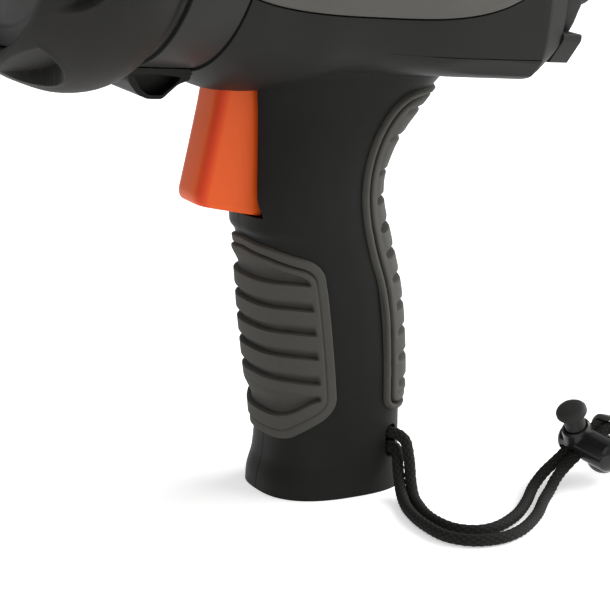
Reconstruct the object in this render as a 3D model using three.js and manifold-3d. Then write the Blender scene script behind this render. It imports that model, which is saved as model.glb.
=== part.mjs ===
// Hand-held speed radar gun: nose antenna, split housing with pistol grip, display end and wrist lanyard.
// Millimetres, +Z up, nose towards -X, origin at the centre of the grip's foot.
import * as THREE from 'three';
import { mergeVertices } from 'three/addons/utils/BufferGeometryUtils.js';
import Module from 'manifold-3d';

const wasm = await Module();
wasm.setup();

// ---- driving dimensions ----
const GAP = 0.3;                                   // air left between pieces that touch
const BARREL = { x: -69, z: 161.9, tilt: THREE.MathUtils.degToRad(6) };   // barrel axis, nose raised
const NOSE = { radius: 53.2, front: -18.4, rear: 13.8, bore: 45.3, relief: 48 };      // rubber bumper
const COLLAR = { radius: 46, front: 17.6, rear: 32.2, spigot: 42.8, end: 37 };
const BODY = { front: 32.6, rear: 119.3, wall: 3, chamfer: 3.6 };
const DIMPLES = 8;
const GRIP = { top: 109, wall: 1.8, exponent: 2.6 };
const PAD = { lift: GAP, thick: 1.3 };
const SIDE = { u: 66, w: 0, length: 48, height: 27.2, exponent: 3, rise: 0.8, depth: 0.9 };
const CELL = { radius: 12.6, length: 49.8, x: -2.8, bottom: 8.2 };
const DOOR = { front: -13.2, rear: 14.6, half: 11.2, thick: 3, hinge: 1.5 };
const TRIGGER = { width: 14, pivotX: -25, pivotZ: 112.8, pin: 1.45, hub: 3.6, armX: -11, plungerX: -13 };
const POD = { u: 124.4, depth: 7.6, width: 66, height: 50, w: 1, corner: 8 };
const WINDOW = { width: 46, height: 23, w: 9, corner: 3 };
const KEY = { width: 9, height: 5.6, w: -14.5, pitch: 13.4, corner: 2.4, proud: 1.4 };
const CORD = { diameter: 3, sides: 8, steps: 64 };
const LOCK = { x: 59.4, y: -31.2, z: 10.3, radius: 4.2, back: 3.4, front: 11, strandZ: -1.2 };
const LANYARD = { x: 12.3, y: -14.8, high: 14.6, low: 10.6, turn: THREE.MathUtils.degToRad(-60) };

// ---- materials ----
const finish = (color, roughness, metalness = 0) => ({ color, roughness, metalness });
const BLACK = finish(0x2b2b2a, 0.6);
const CHARCOAL = finish(0x393937, 0.55);
const DARK_RUBBER = finish(0x2d2c28, 0.75);
const GRAY_RUBBER = finish(0x45443f, 0.8);
const GRAY = finish(0x5e5d59, 0.55);
const ORANGE = finish(0xd65e2c, 0.45);
const STEEL = finish(0xb0b3b6, 0.35, 1);
const BOARD = finish(0x1f5a37, 0.5);
const CLEAR = finish(0x20282b, 0.1);
const SCREEN = finish(0x8c977e, 0.4);
const CORD_BLACK = finish(0x1d1d1b, 0.9);
const SHINY_BLACK = finish(0x171717, 0.25);
const CELL_WRAP = finish(0x7a6a3c, 0.4);

const gun = new THREE.Group();
const barrel = new THREE.Group();
barrel.position.set(BARREL.x, 0, BARREL.z);
barrel.rotation.y = BARREL.tilt;
barrel.updateMatrix();
gun.add(barrel);

// ---- solids ----
const solidOf = (geometry, matrix) => {
  const bare = geometry.clone();
  bare.deleteAttribute('normal');
  bare.deleteAttribute('uv');
  if (matrix) bare.applyMatrix4(matrix);
  const merged = mergeVertices(bare, 1e-4);
  return new wasm.Manifold(new wasm.Mesh({
    numProp: 3,
    vertProperties: new Float32Array(merged.attributes.position.array),
    triVerts: new Uint32Array(merged.index.array),
  }));
};

const geometryOf = (solid) => {
  const mesh = solid.getMesh();
  const geometry = new THREE.BufferGeometry();
  geometry.setAttribute('position', new THREE.BufferAttribute(new Float32Array(mesh.vertProperties), 3));
  geometry.setIndex(new THREE.BufferAttribute(new Uint32Array(mesh.triVerts), 1));
  return geometry;
};

function add(parent, name, solid, look) {
  const geometry = geometryOf(solid);
  const mesh = new THREE.Mesh(geometry, new THREE.MeshStandardMaterial(look));
  mesh.name = name;
  parent.add(mesh);
}

const at = (x, y, z) => new THREE.Matrix4().makeTranslation(x, y, z);
const turned = (x, y, z, rx, ry, rz) => at(x, y, z).multiply(
  new THREE.Matrix4().makeRotationFromEuler(new THREE.Euler(rx, ry, rz)));
const QUARTER = Math.PI / 2;
const V = (x, y, z) => new THREE.Vector3(x, y, z);
const V2 = (x, y) => new THREE.Vector2(x, y);

const block = (x0, x1, y0, y1, z0, z1) => solidOf(
  new THREE.BoxGeometry(x1 - x0, y1 - y0, z1 - z0),
  at((x0 + x1) / 2, (y0 + y1) / 2, (z0 + z1) / 2));

// rods along X, Y and Z between two ends
const rodX = (r, x0, x1, y, z, sides = 16) => solidOf(
  new THREE.CylinderGeometry(r, r, x1 - x0, sides), turned((x0 + x1) / 2, y, z, 0, 0, -QUARTER));
const rodY = (r, y0, y1, x, z, sides = 16) => solidOf(
  new THREE.CylinderGeometry(r, r, y1 - y0, sides), at(x, (y0 + y1) / 2, z));
const rodZ = (r, z0, z1, x, y, sides = 16) => solidOf(
  new THREE.CylinderGeometry(r, r, z1 - z0, sides), turned(x, y, (z0 + z1) / 2, QUARTER, 0, 0));

// a turned piece about +X from a closed or axis-to-axis outline of (station, radius) pairs,
// taken in the order that faces outwards
function turnedX(outline, sides = 40) {
  const points = outline.map(([station, radius]) => new THREE.Vector2(radius, station));
  if (THREE.ShapeUtils.area(points) < 0) points.reverse();
  return solidOf(new THREE.LatheGeometry(points, sides), turned(0, 0, 0, 0, 0, -QUARTER));
}

// a smooth function through (station, value) pairs, by cubic Hermite spans
function curve(pairs) {
  const slope = pairs.map((_, i) => {
    const a = pairs[Math.max(i - 1, 0)];
    const b = pairs[Math.min(i + 1, pairs.length - 1)];
    return (b[1] - a[1]) / (b[0] - a[0]);
  });
  return (station) => {
    let i = 0;
    while (i < pairs.length - 2 && station > pairs[i + 1][0]) i += 1;
    const [x0, y0] = pairs[i];
    const [x1, y1] = pairs[i + 1];
    const h = x1 - x0;
    const s = THREE.MathUtils.clamp((station - x0) / h, 0, 1);
    return y0 * (1 + 2 * s) * (1 - s) ** 2 + slope[i] * h * s * (1 - s) ** 2
      + y1 * s * s * (3 - 2 * s) - slope[i + 1] * h * s * s * (1 - s);
  };
}

// a loft made from a cylinder's grid: point(t, radius, angle) places each vertex
function loft(sides, rows, point, alongX) {
  const geometry = new THREE.CylinderGeometry(1, 1, 1, sides, rows);
  const position = geometry.attributes.position;
  for (let i = 0; i < position.count; i += 1) {
    const [x, y, z] = [position.getX(i), position.getY(i), position.getZ(i)];
    const angle = alongX ? Math.atan2(x, z) : Math.atan2(-z, x);
    position.setXYZ(i, ...point(y + 0.5, Math.hypot(x, z), angle));
  }
  return solidOf(geometry);
}

const power = (value, exponent) => Math.sign(value) * Math.abs(value) ** exponent;

// ---- housing sections, in the barrel's frame: u along the axis, w up ----
const bodyHalf = curve([[32, 46], [50, 45], [75, 43.5], [100, 42], [120, 41]]);
const bodyUp = curve([[32, 46], [50, 46.5], [75, 45.5], [100, 42.5], [120, 39]]);
const bodyDown = (u) => 51.4 - 0.08 * (u - 34);
const topExponent = curve([[32, 2], [75, 2.3], [120, 2.8]]);
const bottomExponent = curve([[32, 2.2], [60, 2.6], [90, 3.6], [120, 4.4]]);

function bodySolid(grow, from, to, chamfer, sides = 28, rows = 7) {
  const point = (t, radius, angle) => {
    const inner = to - chamfer;
    const last = (rows - 1) / rows;
    const u = t <= last ? from + (inner - from) * (t / last) : inner + chamfer * (t - last) * rows;
    const pull = u > inner ? 1.15 * (u - inner) : 0;
    const side = Math.cos(angle);
    const lift = Math.sin(angle);
    const exponent = 2 / (lift > 0 ? topExponent(u) : bottomExponent(u));
    const half = bodyHalf(u) + grow - pull;
    const tall = (lift > 0 ? bodyUp(u) : bodyDown(u)) + grow - pull;
    return [u, radius * half * power(side, exponent), radius * tall * power(lift, exponent)];
  };
  return loft(sides, rows, point, true).transform(barrel.matrix.elements);
}

// ---- grip sections, by height ----
const gripFront = curve([[0, -20.1], [4, -19.8], [9, -18.3], [18, -17.6], [32, -19.3], [46, -20.8],
  [59, -21.7], [68, -22.8], [70.4, -24.3], [90, -24.5], [113, -24.6]]);
const gripRear = curve([[0, 19.3], [4, 19.1], [10, 18.5], [20, 18.5], [33, 18.8], [46, 18.1], [55, 16.8],
  [65, 14.4], [75, 12.1], [82, 12.2], [89, 14.8], [95, 18.8], [102, 25.6], [113, 37]]);
const gripHalf = curve([[0, 17.8], [4, 17.4], [10, 16.8], [33, 17], [92, 17], [102, 17.6], [113, 20.5]]);

function gripSolid(grow, from, to, sides = 20, rows = 11) {
  const point = (t, radius, angle) => {
    const z = from + (to - from) * t;
    const height = Math.max(z, 0);
    const front = gripFront(height) - grow;
    const rear = gripRear(height) + grow;
    const exponent = 2 / GRIP.exponent;
    const x = (front + rear) / 2 + radius * (rear - front) / 2 * power(Math.cos(angle), exponent);
    return [x, radius * (gripHalf(height) + grow) * power(Math.sin(angle), exponent), z];
  };
  return loft(sides, rows, point, false);
}

const inBarrel = (solid) => solid.transform(barrel.matrix.elements);

// ---- outlines ----
function roundedRect(width, height, corner) {
  const [x, y] = [width / 2, height / 2];
  const shape = new THREE.Shape();
  shape.moveTo(-x + corner, -y);
  shape.lineTo(x - corner, -y);
  shape.absarc(x - corner, -y + corner, corner, -QUARTER, 0);
  shape.lineTo(x, y - corner);
  shape.absarc(x - corner, y - corner, corner, 0, QUARTER);
  shape.lineTo(-x + corner, y);
  shape.absarc(-x + corner, y - corner, corner, QUARTER, Math.PI);
  shape.lineTo(-x, -y + corner);
  shape.absarc(-x + corner, -y + corner, corner, Math.PI, Math.PI * 1.5);
  return shape;
}

const extruded = (shape, depth, curveSegments = 2) => new THREE.ExtrudeGeometry(
  shape, { depth, bevelEnabled: false, curveSegments });

// a plate standing across the barrel's axis, its outline's x running along Y and its y along W
function plateU(shape, u0, u1, w = 0, y = 0) {
  const geometry = extruded(shape, u1 - u0);
  const frame = new THREE.Matrix4().makeBasis(
    new THREE.Vector3(0, 1, 0), new THREE.Vector3(0, 0, 1), new THREE.Vector3(1, 0, 0));
  return solidOf(geometry, at(u0, y, w).multiply(frame));
}

// a side-view outline (x, z) carried across the width from y0 to y1
function plateY(shape, y0, y1) {
  const geometry = extruded(shape, y1 - y0);
  return solidOf(geometry, turned(0, y1, 0, QUARTER, 0, 0));
}

function sideOutline(grow) {
  const shape = new THREE.Shape();
  const steps = 28;
  for (let i = 0; i < steps; i += 1) {
    const angle = (i / steps) * Math.PI * 2;
    const u = SIDE.u + (SIDE.length + grow) * power(Math.cos(angle), 2 / SIDE.exponent);
    const w = SIDE.w + (SIDE.height + grow) * power(Math.sin(angle), 2 / SIDE.exponent);
    const front = Math.max(u, BODY.front + 0.8 - grow);
    if (i) shape.lineTo(front, w);
    else shape.moveTo(front, w);
  }
  return shape;
}

function frontPadOutline() {
  const shape = new THREE.Shape();
  shape.moveTo(-30, 69.5);
  shape.lineTo(-24, 69.1);
  shape.lineTo(-13, 63.9);
  shape.quadraticCurveTo(-8.6, 61.9, -8.2, 57.9);
  shape.lineTo(-5.2, 27.4);
  shape.quadraticCurveTo(-5, 23.9, -9, 20.9);
  shape.lineTo(-14.6, 16.5);
  shape.quadraticCurveTo(-16.5, 15, -19, 15.2);
  shape.lineTo(-30, 15.5);
  return shape;
}

function rearPadOutline() {
  const shape = new THREE.Shape();
  shape.moveTo(45, 103.3);
  shape.lineTo(24, 103.9);
  shape.quadraticCurveTo(12, 103.9, 6.4, 94.4);
  shape.quadraticCurveTo(2.4, 86.9, 2.4, 77.9);
  shape.quadraticCurveTo(2.6, 68.9, 6, 58.9);
  shape.quadraticCurveTo(8.8, 50.9, 8.9, 40.9);
  shape.lineTo(8.9, 24.9);
  shape.quadraticCurveTo(9.2, 21.1, 14, 20.7);
  shape.lineTo(45, 20.7);
  return shape;
}

// ---- housing ----
const bodyOuter = bodySolid(0, BODY.front, BODY.rear, BODY.chamfer);
const gripOuter = gripSolid(0, 0, GRIP.top);

function housing() {
  const hollow = bodySolid(-BODY.wall, BODY.front + BODY.wall, BODY.rear - BODY.wall, BODY.chamfer, 20, 5)
    .add(gripSolid(-GRIP.wall, -1, GRIP.top + 4, 16, 9));
  let shell = bodyOuter.add(gripOuter).subtract(hollow);
  shell = shell.add(boardRails()).add(lanyardBoss());
  const cuts = [
    inBarrel(rodX(COLLAR.spigot + GAP + 0.3, BODY.front - 2, COLLAR.end + 1, 0, 0, 24)),
    inBarrel(plateU(roundedRect(58, 40, 8), BODY.rear - 5, BODY.rear + 2, POD.w)),
    block(-31.6, -17.5, -7.6, 7.6, 98, 111.4),
    block(-32, -17.5, -7.6, 7.6, 74, 107),
    block(-29.4, -4.6, -10.2, 10.2, 110.6, 126.2),
    block(DOOR.front - 1.8, DOOR.rear + GAP, -DOOR.half - GAP, DOOR.half + GAP, -1, 6),
    clipNotch(),
    lanyardSlot(),
    rodZ(1 + GAP, 4.6, 19.8, LANYARD.x - 2.1, LANYARD.y + 3.9, 12),
  ];
  for (const side of [-1, 1]) cuts.push(sideRecess(side));
  for (const cut of cuts) shell = shell.subtract(cut);
  return shell;
}

function boardRails() {
  let rails = null;
  for (const side of [-1, 1]) {
    for (const w of [-19.6, -14.9]) {
      const rail = block(66, 108, side > 0 ? 33 : -41.5, side > 0 ? 41.5 : -33, w, w + 2.2);
      rails = rails ? rails.add(rail) : rail;
    }
  }
  return inBarrel(rails).intersect(bodySolid(-1, BODY.front, BODY.rear, BODY.chamfer));
}

function lanyardBoss() {
  return block(8.2, 19, -18, -8.4, 3.6, 20.6).subtract(rodZ(CELL.radius + 0.6, 0, 20, CELL.x, 0, 32))
    .intersect(gripSolid(-1, 0, 30));
}

const lanyardOut = new THREE.Vector3(Math.cos(LANYARD.turn), Math.sin(LANYARD.turn), 0);

function lanyardSlot() {
  const z = (LANYARD.high + LANYARD.low) / 2;
  const shape = roundedRect(5, LANYARD.high - LANYARD.low + 4.8, 2.3);
  const geometry = extruded(shape, 7.6);
  const side = new THREE.Vector3(0, 0, 1).cross(lanyardOut);
  const frame = new THREE.Matrix4().makeBasis(side, new THREE.Vector3(0, 0, 1), lanyardOut);
  return solidOf(geometry, at(LANYARD.x - 2.9, LANYARD.y + 5.2, z).multiply(frame));
}

function sideRecess(side) {
  const [y0, y1] = side > 0 ? [20, 60] : [-60, -20];
  return inBarrel(plateY(sideOutline(GAP), y0, y1))
    .subtract(bodySolid(-SIDE.depth, BODY.front - 3, BODY.rear, BODY.chamfer));
}

function clipNotch() {
  return inBarrel(block(COLLAR.rear - 1, BODY.front + BODY.wall + 1.2, -8.3, 8.3, -49.2, -46.4));
}

const SCREW = { radius: 1.5, head: 2.9, places: [[4, 119], [39, 118.5], [-21, 195.5], [44, 184]] };

function caseScrews(shellLeft, shellRight) {
  let [left, right] = [shellLeft, shellRight];
  SCREW.places.forEach(([x, z], i) => {
    const inside = bodySolid(-1, BODY.front, BODY.rear, BODY.chamfer);
    const ray = rodY(SCREW.head, 0, 60, x, z).intersect(bodyOuter).boundingBox();
    const skin = ray.max[1];
    const seat = skin - 9;
    left = left.add(rodY(4, -60, -GAP / 2, x, z, 10).intersect(inside))
      .subtract(rodY(SCREW.radius + GAP, -9, 1, x, z, 8));
    right = right.add(rodY(4.4, GAP / 2, 60, x, z, 10).intersect(inside))
      .subtract(rodY(SCREW.radius + GAP, -1, 60, x, z, 8))
      .subtract(rodY(SCREW.head + GAP, seat, 60, x, z, 12));
    const socket = solidOf(new THREE.CylinderGeometry(1.4, 1.4, 3, 6), at(x, seat + 3, z));
    const screw = rodY(SCREW.radius, -8, seat + GAP + 0.1, x, z, 8)
      .add(rodY(SCREW.head, seat + GAP, seat + GAP + 2.2, x, z, 12)).subtract(socket);
    add(gun, `case_screw_${i + 1}`, screw, STEEL);
  });
  return [left, right];
}

function shells() {
  const shell = housing();
  const [left, right] = caseScrews(
    shell.intersect(block(-120, 120, -80, -GAP / 2, -5, 240)),
    shell.intersect(block(-120, 120, GAP / 2, 80, -5, 240)));
  add(gun, 'left_shell', left, BLACK);
  add(gun, 'right_shell', right, BLACK);
}

function sidePanels() {
  for (const side of [-1, 1]) {
    const [y0, y1] = side > 0 ? [20, 60] : [-60, -20];
    const panel = inBarrel(plateY(sideOutline(0), y0, y1))
      .intersect(bodySolid(SIDE.rise, BODY.front - 3, BODY.rear, BODY.chamfer))
      .subtract(bodySolid(GAP - SIDE.depth, BODY.front - 3, BODY.rear, BODY.chamfer));
    add(gun, side > 0 ? 'side_panel_right' : 'side_panel_left', panel, GRAY);
  }
}

// ---- nose ----
function noseBumper() {
  let ring = turnedX([
    [NOSE.rear, NOSE.bore], [NOSE.rear, 47], [10.6, 50.4], [5, 52.9], [-2, NOSE.radius], [-9, 52],
    [-15, 49.4], [NOSE.front, 46.6], [NOSE.front, 43.4], [-14.2, 42.4], [-14.2, NOSE.bore],
    [-11, NOSE.bore], [-10, NOSE.relief], [9, NOSE.relief], [10, NOSE.bore], [NOSE.rear, NOSE.bore],
  ], 32);
  for (let i = 0; i < DIMPLES; i += 1) ring = ring.subtract(dimple(((i + 0.5) / DIMPLES) * Math.PI * 2));
  add(barrel, 'nose_bumper', ring, DARK_RUBBER);
}

// a scallop with a round rear end, pressed into the bumper and open towards its front
function dimple(angle) {
  const shape = new THREE.Shape();
  const half = 10.4;
  const centre = -17;
  shape.moveTo(-30, -half);
  shape.lineTo(centre, -half);
  shape.absarc(centre, 0, half, -QUARTER, QUARTER);
  shape.lineTo(-30, half);
  const geometry = extruded(shape, 12);
  const place = turned(0, 0, 48.9, 0, -0.07, 0);
  return solidOf(geometry, new THREE.Matrix4().makeRotationX(angle).multiply(place));
}

function noseBarrel() {
  const tube = turnedX([
    [-13.6, 45], [COLLAR.front - 3.6, 45], [COLLAR.front - 3.6, 44], [COLLAR.front, 44],
    [COLLAR.front, COLLAR.radius], [COLLAR.rear, COLLAR.radius], [COLLAR.rear, COLLAR.spigot],
    [COLLAR.end, COLLAR.spigot], [COLLAR.end, 41], [COLLAR.rear - 1, 41], [COLLAR.front + 1, 43.2],
    [COLLAR.front - 3, 42], [-9, 43.2], [-11, 42.6], [-13.6, 42.6], [-13.6, 45],
  ], 28);
  add(barrel, 'nose_barrel', tube, CHARCOAL);
  const [front, rear] = [NOSE.rear + 0.5, COLLAR.front - 0.5];
  const seal = turnedX([
    [front, 44.3], [front, 45.3], [15.7, 45.7], [rear, 45.3], [rear, 44.3], [front, 44.3],
  ], 32);
  add(barrel, 'nose_seal', seal, BLACK);
}

function radome() {
  const cover = turnedX([
    [-16.2, 0], [-15.8, 20], [-13.9, 41.9], [-11.8, 41.9], [-13.8, 20], [-14.2, 0],
  ], 28);
  add(barrel, 'radome', cover, CHARCOAL);
}

function antenna() {
  const horn = turnedX([
    [-10.6, 40.6], [-10.6, 39.2], [30, 6.4], [40.2, 6.4], [40.2, 13], [38.6, 13],
    [38.6, 7.8], [30.6, 7.8], [-9, 39.8], [-9, 40.6], [-10.6, 40.6],
  ], 24);
  add(barrel, 'antenna_horn', horn, STEEL);
  let plate = plateU(roundedRect(64, 58, 22), 40.6, 42.4).subtract(rodX(6.6, 38, 46, 0, 0, 16));
  for (let i = 0; i < 3; i += 1) {
    const angle = QUARTER + (i * Math.PI * 2) / 3;
    const [y, w] = [9.9 * Math.cos(angle), 9.9 * Math.sin(angle)];
    plate = plate.subtract(rodX(1.2 + GAP, 38, 46, y, w, 12));
    const screw = rodX(2.1, 42.7, 44.4, y, w, 12).add(rodX(1.2, 41, 43, y, w, 12));
    add(barrel, `antenna_screw_${i + 1}`, screw, STEEL);
  }
  add(barrel, 'antenna_plate', plate, STEEL);
  const module = block(46.4, 60, -13, 13, -13, 13).add(block(44.8, 46.5, -7, 7, -7, 7));
  add(barrel, 'radar_module', module, STEEL);
}

function noseClip() {
  const shape = new THREE.Shape([
    [15.8, -40], [15.8, -48.6], [18.4, -51.6], [21, -52.7], [25, -52.7], [29.4, -49.4],
    [BODY.front - 0.4, -49], [BODY.front - 0.4, -40],
  ].map(([u, w]) => V2(u, w)));
  const pocket = new THREE.Shape([[18.4, -48.6], [21.4, -51], [24.8, -51], [28.4, -48.2], [24, -46]]
    .map(([u, w]) => V2(u, w)));
  const foot = plateY(shape, -10, 10).subtract(rodX(COLLAR.radius + GAP + 0.2, 10, 40, 0, 0, 36))
    .subtract(plateY(pocket, -12, -6)).subtract(plateY(pocket, 6, 12));
  const tongue = block(BODY.front - 0.6, BODY.front + BODY.wall + 0.9, -8, 8, -48.8, -46.9);
  add(barrel, 'nose_clip', foot.add(tongue), BLACK);
}

// ---- display end ----
function rearBezel() {
  const section = (grow) => {
    const shape = new THREE.Shape();
    const steps = 28;
    for (let i = 0; i < steps; i += 1) {
      const angle = (i / steps) * Math.PI * 2;
      const tall = (Math.sin(angle) > 0 ? 34.6 : 40.6) + grow;
      const y = (38.6 + grow) * power(Math.cos(angle), 2 / 3.6);
      const w = tall * power(Math.sin(angle), 2 / 3.6);
      if (i) shape.lineTo(y, w);
      else shape.moveTo(y, w);
    }
    return shape;
  };
  const slab = plateU(section(0), BODY.rear + GAP, 124.8);
  const lip = plateU(section(-3.2), 124.7, 127.6);
  const opening = plateU(roundedRect(54, 36, 8), 110, 130, POD.w);
  const seat = plateU(roundedRect(POD.width + 0.6, POD.height + 0.6, POD.corner), POD.u - GAP, 130, POD.w);
  add(barrel, 'rear_bezel', slab.add(lip).subtract(opening).subtract(seat), CHARCOAL);
}

const keyPlaces = [-1.5, -0.5, 0.5, 1.5].map((slot) => slot * KEY.pitch);
const KEY_NAMES = ['key_power', 'key_mode', 'key_units', 'key_light'];

function displayPod() {
  const end = POD.u + POD.depth;
  const inside = end - 2.6;
  let frame = plateU(roundedRect(POD.width, POD.height, POD.corner), POD.u, end - 1.2, POD.w)
    .add(plateU(roundedRect(POD.width - 2.4, POD.height - 2.4, POD.corner - 1.2), end - 1.3, end, POD.w))
    .subtract(plateU(roundedRect(POD.width - 5, POD.height - 5, POD.corner - 2), POD.u - 1, inside, POD.w))
    .subtract(plateU(roundedRect(WINDOW.width, WINDOW.height, WINDOW.corner), POD.u, end + 1, WINDOW.w));
  const keyHole = roundedRect(KEY.width + 0.6, KEY.height + 0.6, KEY.corner);
  for (const y of keyPlaces) frame = frame.subtract(plateU(keyHole, POD.u, end + 1, KEY.w, y));
  add(barrel, 'display_frame', frame, BLACK);
  const pane = roundedRect(WINDOW.width - 0.6, WINDOW.height - 0.6, WINDOW.corner);
  add(barrel, 'display_window', plateU(pane, end - 1.8, end - 0.5, WINDOW.w), CLEAR);
  add(barrel, 'lcd_panel', plateU(roundedRect(50, 26, 1), end - 4.8, end - 2.9, WINDOW.w), SCREEN);
  const board = plateU(roundedRect(51, 33, 4), end - 8.4, end - 6.9, POD.w)
    .subtract(rodX(1.6, 110, 140, 22, 14, 12)).subtract(rodX(1.6, 110, 140, -22, 14, 12));
  add(barrel, 'display_board', board, BOARD);
  KEY_NAMES.forEach((name, i) => keyCap(name, keyPlaces[i], end));
}

function keyCap(name, y, end) {
  const cap = plateU(roundedRect(KEY.width, KEY.height, KEY.corner), end - 3, end + KEY.proud, KEY.w, y);
  const flange = roundedRect(KEY.width + 2.4, KEY.height + 2, KEY.corner);
  add(barrel, name, cap.add(plateU(flange, end - 4.1, end - 2.9, KEY.w, y)), GRAY_RUBBER);
}

// ---- trigger group ----
function trigger() {
  const shape = new THREE.Shape();
  shape.moveTo(-30.8, 108.9);
  shape.quadraticCurveTo(-32.2, 95, -37.7, 80.4);
  shape.quadraticCurveTo(-38.6, 78.3, -36.4, 77.8);
  shape.lineTo(-23.6, 74.6);
  shape.quadraticCurveTo(-22.2, 74.4, -22.2, 76.2);
  shape.lineTo(-21.6, 108.9);
  const blade = plateY(shape, -TRIGGER.width / 2, TRIGGER.width / 2);
  const hub = rodY(TRIGGER.hub, -6, 6, TRIGGER.pivotX, TRIGGER.pivotZ, 20);
  const neck = block(-28.4, -21.7, -6, 6, 107.8, 112);
  const arm = block(-24, TRIGGER.armX, -4, 4, 111.4, 114.2);
  const bore = rodY(TRIGGER.pin + 0.1, -9, 9, TRIGGER.pivotX, TRIGGER.pivotZ, 16);
  add(gun, 'trigger', blade.add(hub).add(neck).add(arm).subtract(bore), ORANGE);
  add(gun, 'trigger_pin', rodY(TRIGGER.pin, -9.4, 9.4, TRIGGER.pivotX, TRIGGER.pivotZ, 16), STEEL);
  triggerBracket();
}

function triggerBracket() {
  const top = block(-29, -5, -9.8, 9.8, 124.2, 125.8);
  let bracket = top;
  for (const side of [-1, 1]) {
    const [y0, y1] = side > 0 ? [8.2, 9.8] : [-9.8, -8.2];
    bracket = bracket.add(block(-29, -5, y0, y1, 111, 125));
  }
  bracket = bracket.subtract(rodY(TRIGGER.pin + 0.25, -12, 12, TRIGGER.pivotX, TRIGGER.pivotZ, 16));
  add(gun, 'trigger_bracket', bracket, STEEL);
  const x = TRIGGER.plungerX;
  const body = block(x - 4.6, x + 6, -3.2, 3.2, 117.8, 123.9).subtract(rodZ(1.5, 116, 122.2, x, 0, 12));
  add(gun, 'trigger_switch', body, BLACK);
  add(gun, 'switch_plunger', rodZ(1.2, 114.5, 119.4, x, 0, 12), ORANGE);
  add(gun, 'trigger_spring', coil(-20.4, 0, 114.6, 123.8, 1.7, 0.28, 6), STEEL);
}

// a round-wire coil spring standing on (x, y) between two heights
function coil(x, y, z0, z1, radius, wire, turns) {
  const points = [];
  const count = turns * 6;
  for (let i = 0; i <= count; i += 1) {
    const angle = (i / 6) * Math.PI * 2;
    const z = z0 + wire + (z1 - z0 - 2 * wire) * (i / count);
    points.push(new THREE.Vector3(x + radius * Math.cos(angle), y + radius * Math.sin(angle), z));
  }
  return tube(new THREE.CatmullRomCurve3(points), wire, 4, count);
}

function tube(path, radius, sides, steps) {
  const section = new THREE.Shape();
  for (let i = 0; i < sides; i += 1) {
    const angle = (i / sides) * Math.PI * 2;
    const [a, b] = [radius * Math.cos(angle), radius * Math.sin(angle)];
    if (i) section.lineTo(a, b);
    else section.moveTo(a, b);
  }
  return solidOf(new THREE.ExtrudeGeometry(section, { steps, bevelEnabled: false, extrudePath: path }));
}

// ---- grip ----
function gripPads() {
  const skin = gripSolid(PAD.lift + PAD.thick, 0, GRIP.top).subtract(gripSolid(PAD.lift, 0, GRIP.top));
  const clear = bodySolid(GAP, BODY.front, BODY.rear, BODY.chamfer);
  add(gun, 'grip_pad_front', plateY(frontPadOutline(), -30, 30).intersect(skin), GRAY_RUBBER);
  add(gun, 'grip_pad_rear', plateY(rearPadOutline(), -30, 30).intersect(skin).subtract(clear), GRAY_RUBBER);
}

function batteries() {
  const cell = (z) => {
    const outline = [[0, 0], [0, 9], [0.6, CELL.radius], [CELL.length - 2.4, CELL.radius],
      [CELL.length - 1.6, 9], [CELL.length - 1.6, 3.4], [CELL.length, 3.2], [CELL.length, 0]];
    const points = outline.map(([station, radius]) => new THREE.Vector2(radius, station));
    return solidOf(new THREE.LatheGeometry(points, 24), turned(CELL.x, 0, z, QUARTER, 0, 0));
  };
  const upper = CELL.bottom + CELL.length + GAP;
  add(gun, 'battery_lower', cell(CELL.bottom), CELL_WRAP);
  add(gun, 'battery_upper', cell(upper), CELL_WRAP);
  const top = upper + CELL.length + GAP;
  add(gun, 'battery_contact_top', block(CELL.x - 7, CELL.x + 9, -5, 5, top, top + 0.5), STEEL);
  add(gun, 'battery_spring', coil(CELL.x, 0, DOOR.thick + 1.3, CELL.bottom - GAP, 6, 0.35, 2), STEEL);
  const plate = rodZ(7.6, DOOR.thick + GAP, DOOR.thick + 1, CELL.x, 0, 20);
  add(gun, 'battery_contact_door', plate, STEEL);
}

function batteryDoor() {
  const x0 = DOOR.front;
  const barrelRod = rodY(DOOR.hinge, -DOOR.half, DOOR.half, x0, DOOR.hinge, 20);
  const leaf = block(x0, DOOR.rear, -DOOR.half, DOOR.half, 0, DOOR.thick);
  const bore = rodY(0.85, -30, 30, x0, DOOR.hinge, 12);
  const slot = block(5.4, DOOR.rear + 1, -4.3, 4.3, -1, 1.8);
  add(gun, 'battery_door', leaf.add(barrelRod).subtract(bore).subtract(slot), BLACK);
  add(gun, 'door_hinge_pin', rodY(0.75, -DOOR.half - 0.1, DOOR.half + 0.1, x0, DOOR.hinge, 12), STEEL);
  let latch = block(8.6, DOOR.rear, -4, 4, 0.1, 1.5);
  for (const rib of [0, 1, 2]) {
    latch = latch.subtract(block(9.8 + rib * 1.8, 10.6 + rib * 1.8, -3, 3, -1, 0.6));
  }
  add(gun, 'door_latch', latch, GRAY);
}

// ---- wrist lanyard ----
// the cord leaves the slot high, runs through the lock, round the wrist loop and back to the slot
const lockY = new THREE.Vector3(-0.2225, 0.9635, 0.1483).normalize();
const lockZ = new THREE.Vector3(-0.423, -0.236, 0.875).normalize();
const lockX = new THREE.Vector3().crossVectors(lockY, lockZ);
const lockFrame = at(LOCK.x, LOCK.y, LOCK.z).multiply(new THREE.Matrix4().makeBasis(lockX, lockY, lockZ));
const inLock = (x, y, z) => V(x, y, z).applyMatrix4(lockFrame);

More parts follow.
